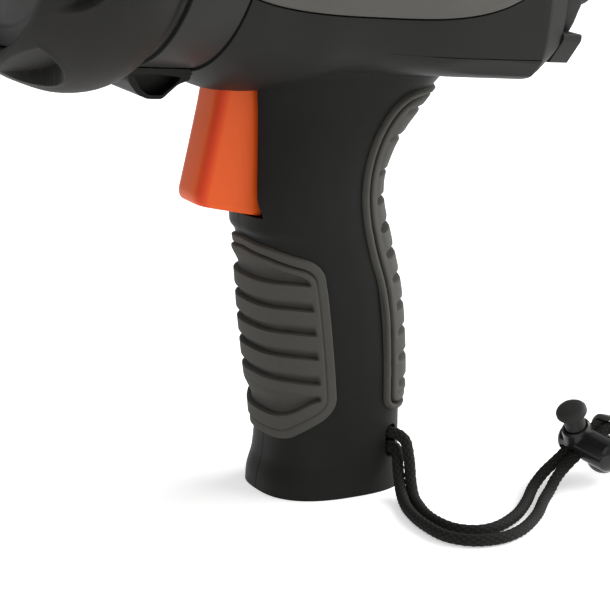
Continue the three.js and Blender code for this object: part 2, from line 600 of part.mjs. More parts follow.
// the sleeve lies past the lock and tips towards the ground
const sleeveX = V(0.93, 0.2, -0.3).normalize();
const sleeveY = V(-0.2, 0.93, 0).normalize();
const sleeveZ = new THREE.Vector3().crossVectors(sleeveX, sleeveY);
const sleeveOrigin = inLock(7.6, 0, LOCK.strandZ);
const sleeveFrame = at(sleeveOrigin.x, sleeveOrigin.y, sleeveOrigin.z)
  .multiply(new THREE.Matrix4().makeBasis(sleeveX, sleeveY, sleeveZ));
const inSleeve = (x, y, z) => V(x, y, z).applyMatrix4(sleeveFrame);

const STRAND = 1.8;                                // half the spacing of the two strands in the lock

function cordPath() {
  const start = V(LANYARD.x, LANYARD.y, LANYARD.high).addScaledVector(lanyardOut, -3);
  const end = V(LANYARD.x, LANYARD.y, LANYARD.low).addScaledVector(lanyardOut, -3);
  return new THREE.CatmullRomCurve3([
    start, V(12.9, -15.8, 14.6), V(13.9, -18.6, 13.4), V(13.6, -21.4, 9.2), V(12.4, -24.6, 4.4),
    V(10.9, -28.8, 1.8), V(8.9, -35, 1.6), V(7.2, -42, 1.6), V(7, -49.4, 1.6), V(8.6, -55, 1.6),
    V(12.4, -58.2, 1.6), V(17.4, -58.2, 1.6), V(26.3, -53.2, 1.6), V(34.7, -45, 1.6), V(42.4, -35.9, 1.7),
    V(47.6, -32.2, 3.4), inLock(-7.5, STRAND, -1.7), inLock(0, STRAND, LOCK.strandZ),
    inLock(4.4, STRAND, LOCK.strandZ),
    inSleeve(1, STRAND, 0), inSleeve(6.4, STRAND, 0), V(79, -26.4, 8.6), V(86, -24.6, 4.2),
    V(94, -22.4, 1.8), V(105, -20, 1.6), V(117, -19.6, 1.6), V(127.5, -23.4, 1.6), V(133.4, -31.6, 1.6),
    V(133, -42, 1.6), V(126, -49.6, 1.6), V(115, -51.8, 1.6), V(104, -48.6, 1.6), V(94.6, -41, 1.8),
    V(87, -34.8, 4.2), V(79.8, -31.4, 8.4),
    inSleeve(6.4, -STRAND, 0), inSleeve(1, -STRAND, 0),
    inLock(4.4, -STRAND, LOCK.strandZ), inLock(0, -STRAND, LOCK.strandZ), inLock(-7.5, -STRAND, -1.7),
    V(48.8, -36.8, 3.4), V(44.6, -40.4, 1.8), V(39.4, -45.9, 1.6),
    V(31.2, -55.4, 1.6), V(21.8, -63, 1.6), V(14.6, -65.4, 1.6), V(8, -63.8, 1.6), V(3.9, -58.6, 1.6),
    V(3, -49, 1.6), V(4.4, -38.8, 1.6), V(6.9, -31, 1.6), V(9, -25.4, 2.8), V(10.8, -20.8, 6.2),
    V(12.2, -17.6, 9.4), V(12.8, -15.7, 10.6), end,
  ], false, 'centripetal');
}

function lanyard() {
  add(gun, 'lanyard_cord', tube(cordPath(), CORD.diameter / 2, CORD.sides, CORD.steps), CORD_BLACK);
  add(gun, 'lanyard_pin', rodZ(1, 5, 19.4, LANYARD.x - 2.1, LANYARD.y + 3.9, 12), STEEL);
  cordLock();
}

function cordLock() {
  const r = LOCK.radius;
  const profile = [];
  for (let i = 0; i <= 3; i += 1) {
    const angle = (i / 3) * QUARTER;
    profile.push(new THREE.Vector2(r * Math.sin(angle), -LOCK.front - r * Math.cos(angle) * 0.6));
  }
  for (let i = 3; i >= 0; i -= 1) {
    const angle = (i / 3) * QUARTER;
    profile.push(new THREE.Vector2(r * Math.sin(angle), LOCK.back + r * Math.cos(angle) * 0.6));
  }
  const body = solidOf(new THREE.LatheGeometry(profile, 14));
  const neck = rodZ(3.9, 1, 5.4, 0, 0, 14);
  const lobe = solidOf(new THREE.SphereGeometry(3.6, 10, 6), at(1.2, -5.4, -5).scale(V(1, 1.25, 1)));
  const channel = cordChannel(12).transform(at(0, 0, LOCK.strandZ).elements);
  const well = rodZ(2.5, LOCK.strandZ, 8, 0, 0, 14).add(rodZ(3.1, 1.5, 8, 0, 0, 14));
  add(gun, 'cord_lock_body', body.add(neck).add(lobe).subtract(channel).subtract(well)
    .transform(lockFrame.elements), SHINY_BLACK);
  const stem = rodZ(2.2, 2.9, 6, 0, 0, 14).add(rodZ(2.8, 5.7, 10.3, 0, 0, 14));
  const head = solidOf(new THREE.LatheGeometry([V2(0, 9.8), V2(3.7, 9.8), V2(4.1, 10.4), V2(4.1, 11.2),
    V2(3.4, 11.9), V2(0, 12.3)], 16), new THREE.Matrix4().makeRotationX(QUARTER));
  add(gun, 'cord_lock_button', stem.add(head).transform(lockFrame.elements), CHARCOAL);
  const spring = coil(0, 0, 1.9, 5.2, 2.65, 0.14, 3);
  add(gun, 'cord_lock_spring', spring.transform(lockFrame.elements), STEEL);
  const sleeve = alongX(roundedRect(10, 6.4, 2.9), 1.2, 6.6).subtract(cordChannel(12));
  add(gun, 'cord_sleeve', sleeve.transform(sleeveFrame.elements), GRAY);
}

// a flat outline (y, z) carried along X
function alongX(shape, x0, x1) {
  const geometry = extruded(shape, x1 - x0, 3);
  const frame = new THREE.Matrix4().makeBasis(V(0, 1, 0), V(0, 0, 1), V(1, 0, 0));
  return solidOf(geometry, at(x0, 0, 0).multiply(frame));
}

// the oblong way through which both strands run
function cordChannel(reach) {
  return alongX(roundedRect(2 * STRAND + CORD.diameter + 1.4, CORD.diameter + 1.2, 2), -reach, reach);
}

// ---- electronics in the body ----
function electronics() {
  const board = block(66.6, 107.4, -36.6, 36.6, -17.1, -15.5);
  add(barrel, 'main_board', board, BOARD);
  add(barrel, 'buzzer', rodZ(6, -15.2, -9.2, 92, 18, 20), BLACK);
}

shells();
sidePanels();
noseBumper();
noseBarrel();
radome();
antenna();
noseClip();
rearBezel();
displayPod();
trigger();
gripPads();
batteries();
batteryDoor();
lanyard();
electronics();

export default gun;
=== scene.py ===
import math

import bpy
import numpy as np
from bpy.props import FloatProperty, FloatVectorProperty, IntProperty, PointerProperty
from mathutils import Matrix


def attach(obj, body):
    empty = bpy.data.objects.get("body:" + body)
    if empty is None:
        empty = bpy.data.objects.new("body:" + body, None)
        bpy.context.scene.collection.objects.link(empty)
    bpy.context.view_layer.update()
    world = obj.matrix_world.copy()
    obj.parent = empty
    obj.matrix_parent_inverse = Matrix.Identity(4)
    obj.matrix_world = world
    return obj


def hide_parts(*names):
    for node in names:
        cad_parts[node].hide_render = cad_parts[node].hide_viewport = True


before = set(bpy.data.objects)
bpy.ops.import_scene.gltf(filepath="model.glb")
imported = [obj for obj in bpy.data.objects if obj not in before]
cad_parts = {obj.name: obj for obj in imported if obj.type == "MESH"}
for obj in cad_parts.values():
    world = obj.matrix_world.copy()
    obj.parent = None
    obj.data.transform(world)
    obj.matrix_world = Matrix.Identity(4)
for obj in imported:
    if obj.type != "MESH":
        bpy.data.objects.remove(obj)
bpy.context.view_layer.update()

bl_info = {
    "name": "Speed Radar Gun",
    "version": (1, 0, 0),
    "blender": (4, 5, 0),
    "location": "View3D > Sidebar > Radar Gun",
    "description": "Builds the outside of a hand-held speed radar gun around its packed frame",
    "category": "Object",
}

MM = 0.001
HOUSING = "housing"

# ---------------------------------------------------------------- sizes, in millimetres
BARREL = dict(x=-69.0, z=161.9, tilt=math.radians(6))
NOSE = dict(radius=53.2, front=-18.4, rear=13.8, bore=45.3)
COLLAR = dict(radius=46.0, front=17.6, rear=32.2, spigot=42.8, end=37.0)
BODY = dict(front=32.6, rear=119.3, wall=3.0, chamfer=6.5)
FACET_GROWTH = 1.4
SIDE = dict(u=66.0, w=0.0, length=48.0, height=27.2, exponent=3.0, rise=0.8, depth=0.9)
CELL = dict(radius=12.6, x=-2.8)
DOOR = dict(front=-13.2, rear=14.6, half=11.2, thick=3.0, hinge=1.5)
POD = dict(u=124.4, depth=7.6, width=66.0, height=50.0, w=1.0, corner=8.0)
WINDOW = dict(width=46.0, height=23.0, w=9.0, corner=3.0)
POD_END = POD["u"] + POD["depth"]
KEY = dict(width=9.0, height=5.6, w=-14.5, pitch=13.4, corner=2.4, proud=1.4)
LOCK = dict(x=59.4, y=-31.2, z=10.3, radius=4.2, back=3.4, front=11.0, strand_z=-1.2)
LANYARD = dict(x=12.3, y=-14.8, high=14.6, low=10.6, turn=math.radians(-60))
STRAND = 1.8
SCREWS = ((4, 119), (39, 118.5), (-21, 195.5), (44, 184))
GRIP_TOP = 109.0
GRIP_EXPONENT = 2.6
PAD_SINK = 0.7
HALF_GAP = 0.11
GROOVE = dict(start=72, w=-36.4, depth=0.30)
SLOT = dict(front=-32, rear=-16.9, half=8.5, low=74.2, high=111.4)
TRIGGER = dict(low=76, top=108.9, half=7.0, cove=2.3, pivot_x=-25, pivot_z=112.8)

# ---------------------------------------------------------------- stage, in metres and degrees
FLOOR_HALF = 3000
FLOOR_LEVEL = -0.05
FLOOR_GLOW = 0.42
SKY = 0.38
LAMPS = (("key", (-0.85, -0.75, 1.15), 7.0, 1.6), ("fill", (1.2, -0.5, 0.8), 27.0, 1.8),
         ("back", (1.3, 0.15, 0.6), 14.0, 1.0))
LAMP_AIM = (0, 0, 0.1)
CAMERA = dict(place=(-0.312583, -0.602452, 0.228771), tilt=75, turn=-27, sensor=36, near=0.01, far=20)


class RadarSizes(bpy.types.PropertyGroup):
    """Sizes of the radar gun that a user may change."""
    dimple_floor: FloatProperty(
        name="Dimple floor", description="Distance of a scallop's floor from the nose axis",
        default=0.0476, unit="LENGTH")
    rib_depth: FloatProperty(
        name="Rib depth", description="Depth of the finger grooves in the grip pads",
        default=0.0014, unit="LENGTH")
    cord_diameter: FloatProperty(
        name="Cord diameter", description="Diameter of the wrist lanyard's cord",
        default=0.003, unit="LENGTH")
    braid_pitch: FloatProperty(
        name="Braid pitch", description="Length of one diamond of the cord's braid",
        default=0.0021, unit="LENGTH")
    round_sides: IntProperty(
        name="Round sides", description="Sides of the turned pieces", default=192, min=48, max=512)
    lens: FloatProperty(
        name="Lens", description="Focal length of the scene's camera, in millimetres", default=160.1)


class RadarColours(bpy.types.PropertyGroup):
    """Colours of the radar gun's finishes, as linear values."""
    housing: FloatVectorProperty(
        name="Housing", description="Moulded body and grip", subtype="COLOR",
        default=(0.0155, 0.0155, 0.0145))
    collar: FloatVectorProperty(
        name="Collar", description="Front barrel and rear bezel", subtype="COLOR",
        default=(0.028, 0.028, 0.027))
    bumper: FloatVectorProperty(
        name="Bumper", description="Rubber ring round the nose", subtype="COLOR",
        default=(0.016, 0.0155, 0.0135))
    pads: FloatVectorProperty(
        name="Pads", description="Rubber grip pads", subtype="COLOR", default=(0.056, 0.0545, 0.0485))
    panel: FloatVectorProperty(
        name="Panel", description="Side panels", subtype="COLOR", default=(0.082, 0.080, 0.073))
    trigger: FloatVectorProperty(
        name="Trigger", description="Trigger plastic", subtype="COLOR", default=(0.68, 0.088, 0.008))
    cord: FloatVectorProperty(
        name="Cord", description="Braided lanyard cord", subtype="COLOR", default=(0.010, 0.010, 0.0092))


def sizes():
    """The sizes as the user set them."""
    return bpy.context.scene.radar_sizes


def colours():
    """The colours as the user set them."""
    return bpy.context.scene.radar_colours


# ---------------------------------------------------------------- meshes from whole arrays
def put_mesh(name, points, quads, tris=()):
    """A mesh from points in millimetres, four-cornered faces and three-cornered faces.
    It is turned inside out if its signed volume, a sixth of the sum of the faces' triple products, is
    negative."""
    points = np.asarray(points, float).reshape(-1, 3) * MM
    quads = np.asarray(quads, np.int64).reshape(-1, 4)
    tris = np.asarray(tris, np.int64).reshape(-1, 3)
    corners = np.concatenate([quads[:, (0, 1, 2)], quads[:, (0, 2, 3)], tris])
    a, b, c = points[corners[:, 0]], points[corners[:, 1]], points[corners[:, 2]]
    if np.einsum("ij,ij->i", a, np.cross(b, c)).sum() < 0:
        quads, tris = quads[:, ::-1], tris[:, ::-1]
    mesh = bpy.data.meshes.new(name)
    mesh.vertices.add(len(points))
    mesh.vertices.foreach_set("co", points.astype(np.float32).ravel())
    mesh.loops.add(quads.size + tris.size)
    mesh.loops.foreach_set("vertex_index", np.concatenate([quads.ravel(), tris.ravel()]).astype(np.int32))
    mesh.polygons.add(len(quads) + len(tris))
    starts = np.concatenate([np.arange(len(quads)) * 4, quads.size + np.arange(len(tris)) * 3])
    mesh.polygons.foreach_set("loop_start", starts.astype(np.int32))
    mesh.update(calc_edges=True)
    mesh.validate()
    return mesh


def linked(name, data):
    """A new object at the origin, in the scene's own collection."""
    thing = bpy.data.objects.new(name, data)
    bpy.context.scene.collection.objects.link(thing)
    return thing


def smoothed(thing, sharp):
    """Shades the object smooth except over edges sharper than the angle in degrees."""
    thing.data.shade_smooth()
    thing.data.set_sharp_from_angle(angle=math.radians(sharp))
    return thing


def put_object(name, mesh, sharp=32.0):
    """An object made of the mesh, smooth except over edges sharper than the angle in degrees."""
    return smoothed(linked(name, mesh), sharp)


def mark_points(mesh, name, values):
    """Stores a value for each point of the mesh, which a finish reads as an attribute."""
    mesh.attributes.new(name, "FLOAT", "POINT").data.foreach_set("value", np.ravel(values).astype(np.float32))


def turns(sides):
    """Evenly spaced angles round a circle."""
    return np.arange(sides) * 2 * math.pi / sides


def spun(radius, sides):
    """The two cross-axis coordinates of one ring for each radius: radius times cosine and radius times
    sine."""
    angle = turns(sides)
    return radius[:, None] * np.cos(angle), radius[:, None] * np.sin(angle)


def around(rows, columns):
    """Quads of a grid whose last column joins its first."""
    row, column = np.meshgrid(np.arange(rows - 1), np.arange(columns), indexing="ij")
    nxt = (column + 1) % columns
    return np.stack([row * columns + column, row * columns + nxt,
                     (row + 1) * columns + nxt, (row + 1) * columns + column], -1).reshape(-1, 4)


def across(rows, columns):
    """Quads of an open grid."""
    row, column = np.meshgrid(np.arange(rows - 1), np.arange(columns - 1), indexing="ij")
    base = row * columns + column
    return np.stack([base, base + 1, base + columns + 1, base + columns], -1).reshape(-1, 4)


def tube_mesh(name, grid):
    """A closed skin from rings of points: each end ring is closed with a fan round its middle."""
    rows, columns = grid.shape[:2]
    points = np.concatenate([grid.reshape(-1, 3), grid[:1].mean(1), grid[-1:].mean(1)])
    ring = np.arange(columns)
    nxt = (ring + 1) % columns
    first = np.stack([np.full(columns, rows * columns), nxt, ring], -1)
    last = np.stack([np.full(columns, rows * columns + 1), ring + (rows - 1) * columns,
                     nxt + (rows - 1) * columns], -1)
    return put_mesh(name, points, around(rows, columns), np.concatenate([first, last]))


def ring_mesh(name, grid):
    """A closed ring from sections of points: both the rows and the columns join up."""
    rows, columns = grid.shape[:2]
    quads = around(rows, columns)
    ring = np.arange(columns)
    nxt = (ring + 1) % columns
    seam = np.stack([ring + (rows - 1) * columns, nxt + (rows - 1) * columns, nxt, ring], -1)
    return put_mesh(name, grid.reshape(-1, 3), np.concatenate([quads, seam]))


def slab_mesh(name, top, under):
    """A closed plate between two open grids of the same shape, joined round their four borders."""
    rows, columns = top.shape[:2]
    count = rows * columns
    index = np.arange(count).reshape(rows, columns)
    border = np.concatenate([index[0, :], index[1:, -1], index[-1, -2::-1], index[-2:0:-1, 0]])
    nxt = np.roll(border, -1)
    wall = np.stack([border, border + count, nxt + count, nxt], -1)
    quads = across(rows, columns)
    return put_mesh(name, np.concatenate([top.reshape(-1, 3), under.reshape(-1, 3)]),
                    np.concatenate([quads, quads[:, ::-1] + count, wall]))


def merged(mesh_object, cutter_mesh, operation):
    """The object's mesh after a solid is added to it, cut from it or kept in common with it."""
    cutter = linked("cutter", cutter_mesh)
    change = mesh_object.modifiers.new("change", "BOOLEAN")
    change.solver = "MANIFOLD"
    change.operation = operation
    change.object = cutter
    bpy.context.view_layer.update()
    mesh = bpy.data.meshes.new_from_object(mesh_object.evaluated_get(bpy.context.evaluated_depsgraph_get()))
    mesh_object.modifiers.clear()
    old = mesh_object.data
    mesh_object.data = mesh
    bpy.data.meshes.remove(old)
    bpy.data.objects.remove(cutter)
    bpy.data.meshes.remove(cutter_mesh)
    if not len(mesh.polygons):
        raise RuntimeError(f"nothing is left of {mesh_object.name} after {operation}")


def curve(pairs):
    """A smooth function through (station, value) pairs: cubic Hermite spans with central slopes, clamped
    at both ends."""
    x, y = np.array(pairs, float).T
    slope = np.gradient(y)
    slope[1:-1] = (y[2:] - y[:-2]) / (x[2:] - x[:-2])
    slope[0] = (y[1] - y[0]) / (x[1] - x[0])
    slope[-1] = (y[-1] - y[-2]) / (x[-1] - x[-2])

    def value(station):
        station = np.clip(np.asarray(station, float), x[0], x[-1])
        i = np.clip(np.searchsorted(x, station) - 1, 0, len(x) - 2)
        h = x[i + 1] - x[i]
        t = (station - x[i]) / h
        return (y[i] * (1 + 2 * t) * (1 - t) ** 2 + slope[i] * h * t * (1 - t) ** 2
                + y[i + 1] * t * t * (3 - 2 * t) - slope[i + 1] * h * t * t * (1 - t))

    return value


def power(value, exponent):
    """A power that keeps the value's sign."""
    return np.sign(value) * np.abs(value) ** exponent


def ease(value):
    """0 below 0, 1 above 1 and a smooth S between them."""
    t = np.clip(value, 0, 1)
    return t * t * (3 - 2 * t)


def in_barrel(points):
    """Points (u, y, w) of the barrel's frame in the row frame: u runs back along the tilted axis and w up
    from it."""
    u, y, w = np.moveaxis(np.asarray(points, float), -1, 0)
    c, s = math.cos(BARREL["tilt"]), math.sin(BARREL["tilt"])
    return np.stack([BARREL["x"] + u * c + w * s, y, BARREL["z"] - u * s + w * c], -1)


def grid_of(*axes):
    """Points from coordinates that are spread over one common grid."""
    return np.stack(np.broadcast_arrays(*axes), -1)


def turned(name, outline):
    """A turned ring: a closed outline of (station, radius) pairs carried round the barrel's axis."""
    station, radius = np.array(outline, float).T
    angle = turns(sizes().round_sides)[:, None]
    grid = grid_of(station[None, :], radius[None, :] * np.cos(angle), radius[None, :] * np.sin(angle))
    return put_object(name, ring_mesh(name, in_barrel(grid)))


def softened(outline, radius, steps=3):
    """A closed outline with each corner replaced by a short arc: a quadratic curve from and to points at
    most the radius away."""
    p = np.array(outline, float)
    before, after = np.roll(p, 1, 0) - p, np.roll(p, -1, 0) - p
    long_a, long_b = (np.linalg.norm(reach, axis=1, keepdims=True) for reach in (before, after))
    start = p + before / long_a * np.minimum(radius, long_a * 0.45)
    end = p + after / long_b * np.minimum(radius, long_b * 0.45)
    t = np.linspace(0, 1, steps + 1)[None, :, None]
    arc = start[:, None] * (1 - t) ** 2 + 2 * p[:, None] * t * (1 - t) + end[:, None] * t * t
    return arc.reshape(-1, p.shape[1])


def prism(name, outline, low, high, place):
    """A flat outline carried between two levels: place turns (outline points, level) into row-frame
    points."""
    flat = np.asarray(outline, float)
    rings = np.stack([place(flat, level) for level in (low, high)])
    return tube_mesh(name, rings)


def upright(flat, level):
    """A side-view outline (x, z) at the width y = level."""
    return grid_of(flat[:, 0], level, flat[:, 1])


def facing(flat, level):
    """An outline (y, z) seen from the front, at the depth x = level."""
    return grid_of(level, flat[:, 0], flat[:, 1])


def barrel_side(flat, level):
    """A side-view outline (u, w) of the barrel's frame at the width y = level."""
    return in_barrel(upright(flat, level))


def barrel_front(flat, level):
    """An outline (y, w) across the barrel's axis at the station u = level."""
    return in_barrel(facing(flat, level))


def box_mesh(x0, x1, y0, y1, z0, z1, barrel=False):
    """A block between two values of each coordinate, in the row frame or the barrel's."""
    flat = np.array([(x0, z0), (x1, z0), (x1, z1), (x0, z1)], float)
    return prism("block", flat, y0, y1, barrel_side if barrel else upright)


def rod_mesh(radius, start, end, sides=48):
    """A round rod between two points in the row frame."""
    start, end = np.array(start, float), np.array(end, float)
    along = (end - start) / np.linalg.norm(end - start)
    side = np.cross(along, (0, 0, 1) if abs(along[2]) < 0.9 else (1, 0, 0))
    side /= np.linalg.norm(side)
    up = np.cross(along, side)
    angle = turns(sides)[:, None]
    ring = radius * (np.cos(angle) * side + np.sin(angle) * up)
    return tube_mesh("rod", np.stack([start + ring, end + ring]))


def round_rect(width, height, corner, steps=8, y=0.0, w=0.0):
    """A rectangle with round corners, as points in order."""
    turn = np.linspace(0, math.pi / 2, steps + 1)
    arcs = []
    for i, (sx, sy) in enumerate(((1, -1), (1, 1), (-1, 1), (-1, -1))):
        angle = turn + (i - 1) * math.pi / 2
        arcs.append(np.stack([y + sx * (width / 2 - corner) + corner * np.cos(angle),
                              w + sy * (height / 2 - corner) + corner * np.sin(angle)], -1))
    return np.concatenate(arcs)


def bevelled(thing, width, segments=3, angle=35.0):
    """Rounds the piece's sharp edges by a live Bevel modifier."""
    edge = thing.modifiers.new("edges", "BEVEL")
    edge.width = width * MM
    edge.segments = segments
    edge.limit_method = "ANGLE"
    edge.angle_limit = math.radians(angle)
    edge.harden_normals = True
    edge.miter_outer = "MITER_ARC"
    return thing


# ---------------------------------------------------------------- shapes of the housing
body_half = curve([(32, 46), (50, 45), (75, 43.5), (100, 42), (120, 41)])
body_up = curve([(32, 46), (50, 46.5), (75, 45.5), (100, 42.5), (120, 39)])
top_exponent = curve([(32, 2), (75, 2.3), (120, 2.8)])
bottom_exponent = curve([(32, 2), (46, 2.1), (58, 2.7), (75, 4), (95, 7), (120, 8)])
grip_front = curve([(0, -20.1), (4, -19.8), (9, -18.3), (18, -17.6), (32, -19.3), (46, -20.8), (59, -21.7),
                    (68, -22.8), (70.4, -24.3), (90, -24.5), (113, -24.6)])
grip_rear = curve([(0, 19.3), (4, 19.1), (10, 18.5), (20, 18.5), (33, 18.8), (46, 18.1), (55, 16.8),
                   (65, 14.4),
                   (75, 12.1), (82, 12.2), (89, 14.8), (95, 18.8), (102, 25.6), (113, 37)])
grip_half = curve([(0, 17.8), (4, 17.4), (10, 16.8), (33, 17), (92, 17), (102, 17.6), (113, 20.5)])


body_down = curve([(32, 46.4), (34, 47.6), (35.5, 49.4), (38, 50.6), (44, 51.2), (50, 50.8), (54, 49.8),
                   (58, 47.9),
                   (62, 46.1), (67, 44.8), (76, 43.8), (90, 43.1), (120, 43)])
BELLY_CORNER = 76.6


def body_side(u, w, grow):
    """Half width of the body at station u and height w: a superellipse's width times the root of what its
    height leaves."""
    tall = np.where(w > 0, body_up(u), body_down(u)) + grow
    n = np.where(w > 0, top_exponent(u), bottom_exponent(u))
    side = (body_half(u) + grow) * np.clip(1 - np.abs(w / tall) ** n, 0, 1) ** (1 / n)
    return np.where(w > 0, side, np.minimum(side, BELLY_CORNER + FACET_GROWTH * grow - np.abs(w)))


def body_grid(grow, start, end, chamfer, sides, rows):
    """Rings of superellipses along the barrel: half width times cosine to 2/n, height times sine to 2/n.
    Below, a slanted facet takes off the corner. The last rings are pulled in along a slant."""
    straight = np.linspace(start, end - chamfer, rows)
    slant = np.array([0.06, 0.2, 0.5, 0.8, 1.0]) if chamfer else np.zeros(0)
    u = np.concatenate([straight, end - chamfer + chamfer * slant])[:, None]
    pull = np.concatenate([straight * 0, chamfer * np.maximum(slant - 0.05, 0)])[:, None]
    angle = turns(sides)[None, :]
    side, lift = np.cos(angle), np.sin(angle)
    exponent = 2 / np.where(lift > 0, top_exponent(u), bottom_exponent(u))
    y = (body_half(u) + grow - 0.36 * pull) * power(side, exponent)
    w = (np.where(lift > 0, body_up(u), body_down(u)) + grow - 0.85 * pull) * power(lift, exponent)
    corner = (BELLY_CORNER + FACET_GROWTH * grow - 0.5 * pull) / (np.abs(y) + np.abs(w))
    share = np.where(w < 0, np.minimum(corner, 1), 1)
    return in_barrel(grid_of(u, y * share, w * share))


def grip_radius(alpha, z, grow):
    """The grip's middle and its radius at a direction angle and height: a superellipse in polar form."""
    z = np.maximum(z, 0)
    front, rear, half = grip_front(z) - grow, grip_rear(z) + grow, grip_half(z) + grow
    a = (rear - front) / 2
    n = GRIP_EXPONENT
    radius = (np.abs(np.cos(alpha) / a) ** n + np.abs(np.sin(alpha) / half) ** n) ** (-1 / n)
    return (front + rear) / 2, radius


def grip_point(alpha, z, grow=0.0):
    """A point of the grip's skin: alpha turns from +X towards +Y about the grip's middle."""
    middle, radius = grip_radius(alpha, z, grow)
    return grid_of(middle + radius * np.cos(alpha), radius * np.sin(alpha), z)


def grip_grid(grow, low, high, sides, rows):
    """Level rings of the grip's skin from one height to another."""
    return grip_point(turns(sides)[None, :], np.linspace(low, high, rows)[:, None], grow)


def side_outline(grow, steps=160):
    """The side panel's outline: a superellipse whose front is cut off by the collar."""
    angle = turns(steps)
    u = SIDE["u"] + (SIDE["length"] + grow) * power(np.cos(angle), 2 / SIDE["exponent"])
    w = SIDE["w"] + (SIDE["height"] + grow) * power(np.sin(angle), 2 / SIDE["exponent"])
    return np.stack([np.maximum(u, BODY["front"] + 0.8 - grow), w], -1)


def plate_on_body(name, side, grow, low, high, rings=26, edge=0.45):
    """A plate that follows the body's side between two lifts: rings shrink its outline to the middle, and
    its rim is rounded."""
    outline = side_outline(grow)
    middle = np.array([SIDE["u"], SIDE["w"]])
    reach = np.linalg.norm(outline - middle, axis=1)[None, :]
    inset = np.concatenate([edge * (1 - np.cos(np.linspace(0, math.pi / 2, 6))),
                            np.linspace(0.06, 0.97, rings) * 40])
    inset = np.minimum(inset[:, None], reach * np.linspace(0, 1, len(inset))[:, None] ** 0.25 * 0.97)
    inset = np.sort(inset, axis=0)
    share = 1 - inset / reach
    flat = middle + (outline - middle)[None] * share[..., None]
    rim = np.sqrt(np.clip(1 - (1 - np.clip(inset / edge, 0, 1)) ** 2, 0, 1))
    lift_top = low + (high - low) * rim
    u, w = flat[..., 0], flat[..., 1]
    top = in_barrel(grid_of(u, side * body_side(u, w, lift_top), w))
    under = in_barrel(grid_of(u, side * body_side(u, w, low), w))
    return tube_mesh(name, np.concatenate([under[::-1], top]))


def lanyard_slot():
    """The upright oval hole that the cord's two ends go into, as a solid to cut away."""
    out = np.array([math.cos(LANYARD["turn"]), math.sin(LANYARD["turn"]), 0])
    side = np.cross((0, 0, 1), out)
    middle = np.array([LANYARD["x"] - 2.9, LANYARD["y"] + 5.2, (LANYARD["high"] + LANYARD["low"]) / 2])
    flat = round_rect(5, LANYARD["high"] - LANYARD["low"] + 4.8, 2.3)

    def place(points, level):
        return middle + points[:, :1] * side + points[:, 1:] * np.array([0, 0, 1.0]) + out * level

    return prism("slot", flat, 0, 7.6, place)


def shell_solid():
    """Both halves of the housing in one: body and grip joined, hollowed and cut for what they hold."""
    outside = body_grid(0, BODY["front"], BODY["rear"], BODY["chamfer"], 256, 40)
    shell = linked("shell", tube_mesh("shell", outside))
    merged(shell, tube_mesh("grip", grip_grid(0, 0, GRIP_TOP + 6, 192, 156)), "UNION")
    merged(shell, tube_mesh("hollow", body_grid(-BODY["wall"], BODY["front"] + BODY["wall"],
                                                BODY["rear"] - BODY["wall"], 0, 64, 10)), "DIFFERENCE")
    merged(shell, tube_mesh("well", grip_grid(-1.8, 4.2, GRIP_TOP + 9, 64, 42)), "DIFFERENCE")
    boss = put_object("boss", box_mesh(8.2, 19, -18, -8.4, 3.6, 20.6))
    merged(boss, tube_mesh("inner", grip_grid(-0.6, 0, 30, 96, 40)), "INTERSECT")
    merged(shell, boss.data.copy(), "UNION")
    bpy.data.objects.remove(boss)
    cuts = [
        rod_mesh(CELL["radius"] + 0.6, (CELL["x"], 0, 3.3), (CELL["x"], 0, 100), 64),
        rod_mesh(COLLAR["spigot"] + 0.6, *in_barrel([(BODY["front"] - 2, 0, 0), (COLLAR["end"] + 1, 0, 0)]),
                 128),
        prism("way", round_rect(58, 40, 8, w=POD["w"]), BODY["rear"] - 5, BODY["rear"] + 2, barrel_front),
        box_mesh(-31.6, SLOT["rear"], -SLOT["half"], SLOT["half"], 98, SLOT["high"]),
        box_mesh(SLOT["front"], SLOT["rear"], -SLOT["half"], SLOT["half"], SLOT["low"], 107),
        prism("flare", [(-10.1, SLOT["low"]), (10.1, SLOT["low"]), (9.8, 75.4), (8.9, 77.4), (8.3, 80),
                        (-8.3, 80),
                        (-8.9, 77.4), (-9.8, 75.4)], SLOT["front"], SLOT["rear"], facing),
        box_mesh(DOOR["front"] - 1.8, DOOR["rear"] + 0.3, -DOOR["half"] - 0.3, DOOR["half"] + 0.3, -1, 6),
        box_mesh(COLLAR["rear"] - 1, BODY["front"] + BODY["wall"] + 1.2, -8.3, 8.3, -46.9, -44.8, True),
        lanyard_slot(),
        *(plate_on_body("recess", side, 0.28, -SIDE["depth"], 2.0) for side in (-1, 1)),
        *(belly_groove(side) for side in (-1, 1)),
    ]
    for x, z in SCREWS:
        depth = screw_skin(x, z)
        cuts.append(rod_mesh(3.2, (x, depth - 8.7, z), (x, 60, z), 40))
    for cut in cuts:
        merged(shell, cut, "DIFFERENCE")
    return shell


def screw_skin(x, z):
    """Width of the housing's side over a screw: the wider of body and grip there."""
    c, s = math.cos(BARREL["tilt"]), math.sin(BARREL["tilt"])
    dx, dz = x - BARREL["x"], z - BARREL["z"]
    return float(body_side(dx * c - dz * s, dx * s + dz * c, 0.0))


def belly_groove(side):
    """The fine line along the belly: a small diamond section carried along the body's side at one height
    below the axis."""
    u = np.linspace(GROOVE["start"], BODY["rear"] + 1, 90)
    w = np.full_like(u, GROOVE["w"])
    y = side * body_side(np.minimum(u, 115.0), w, 0.0)
    depth = GROOVE["depth"] * ease((u - 78) / 10)
    section = np.array([(-1.0, 0.0), (0.0, 0.16), (1.2, 0.0), (0.0, -0.16)])
    out, up = section[:, 0][None, :], section[:, 1][None, :]
    reach = np.where(out < 0, -depth[:, None] - 0.02, 0.6)
    grid = grid_of(u[:, None], y[:, None] + side * np.where(out == 0, 0.0, reach), w[:, None] + up)
    return tube_mesh("groove", in_barrel(grid))


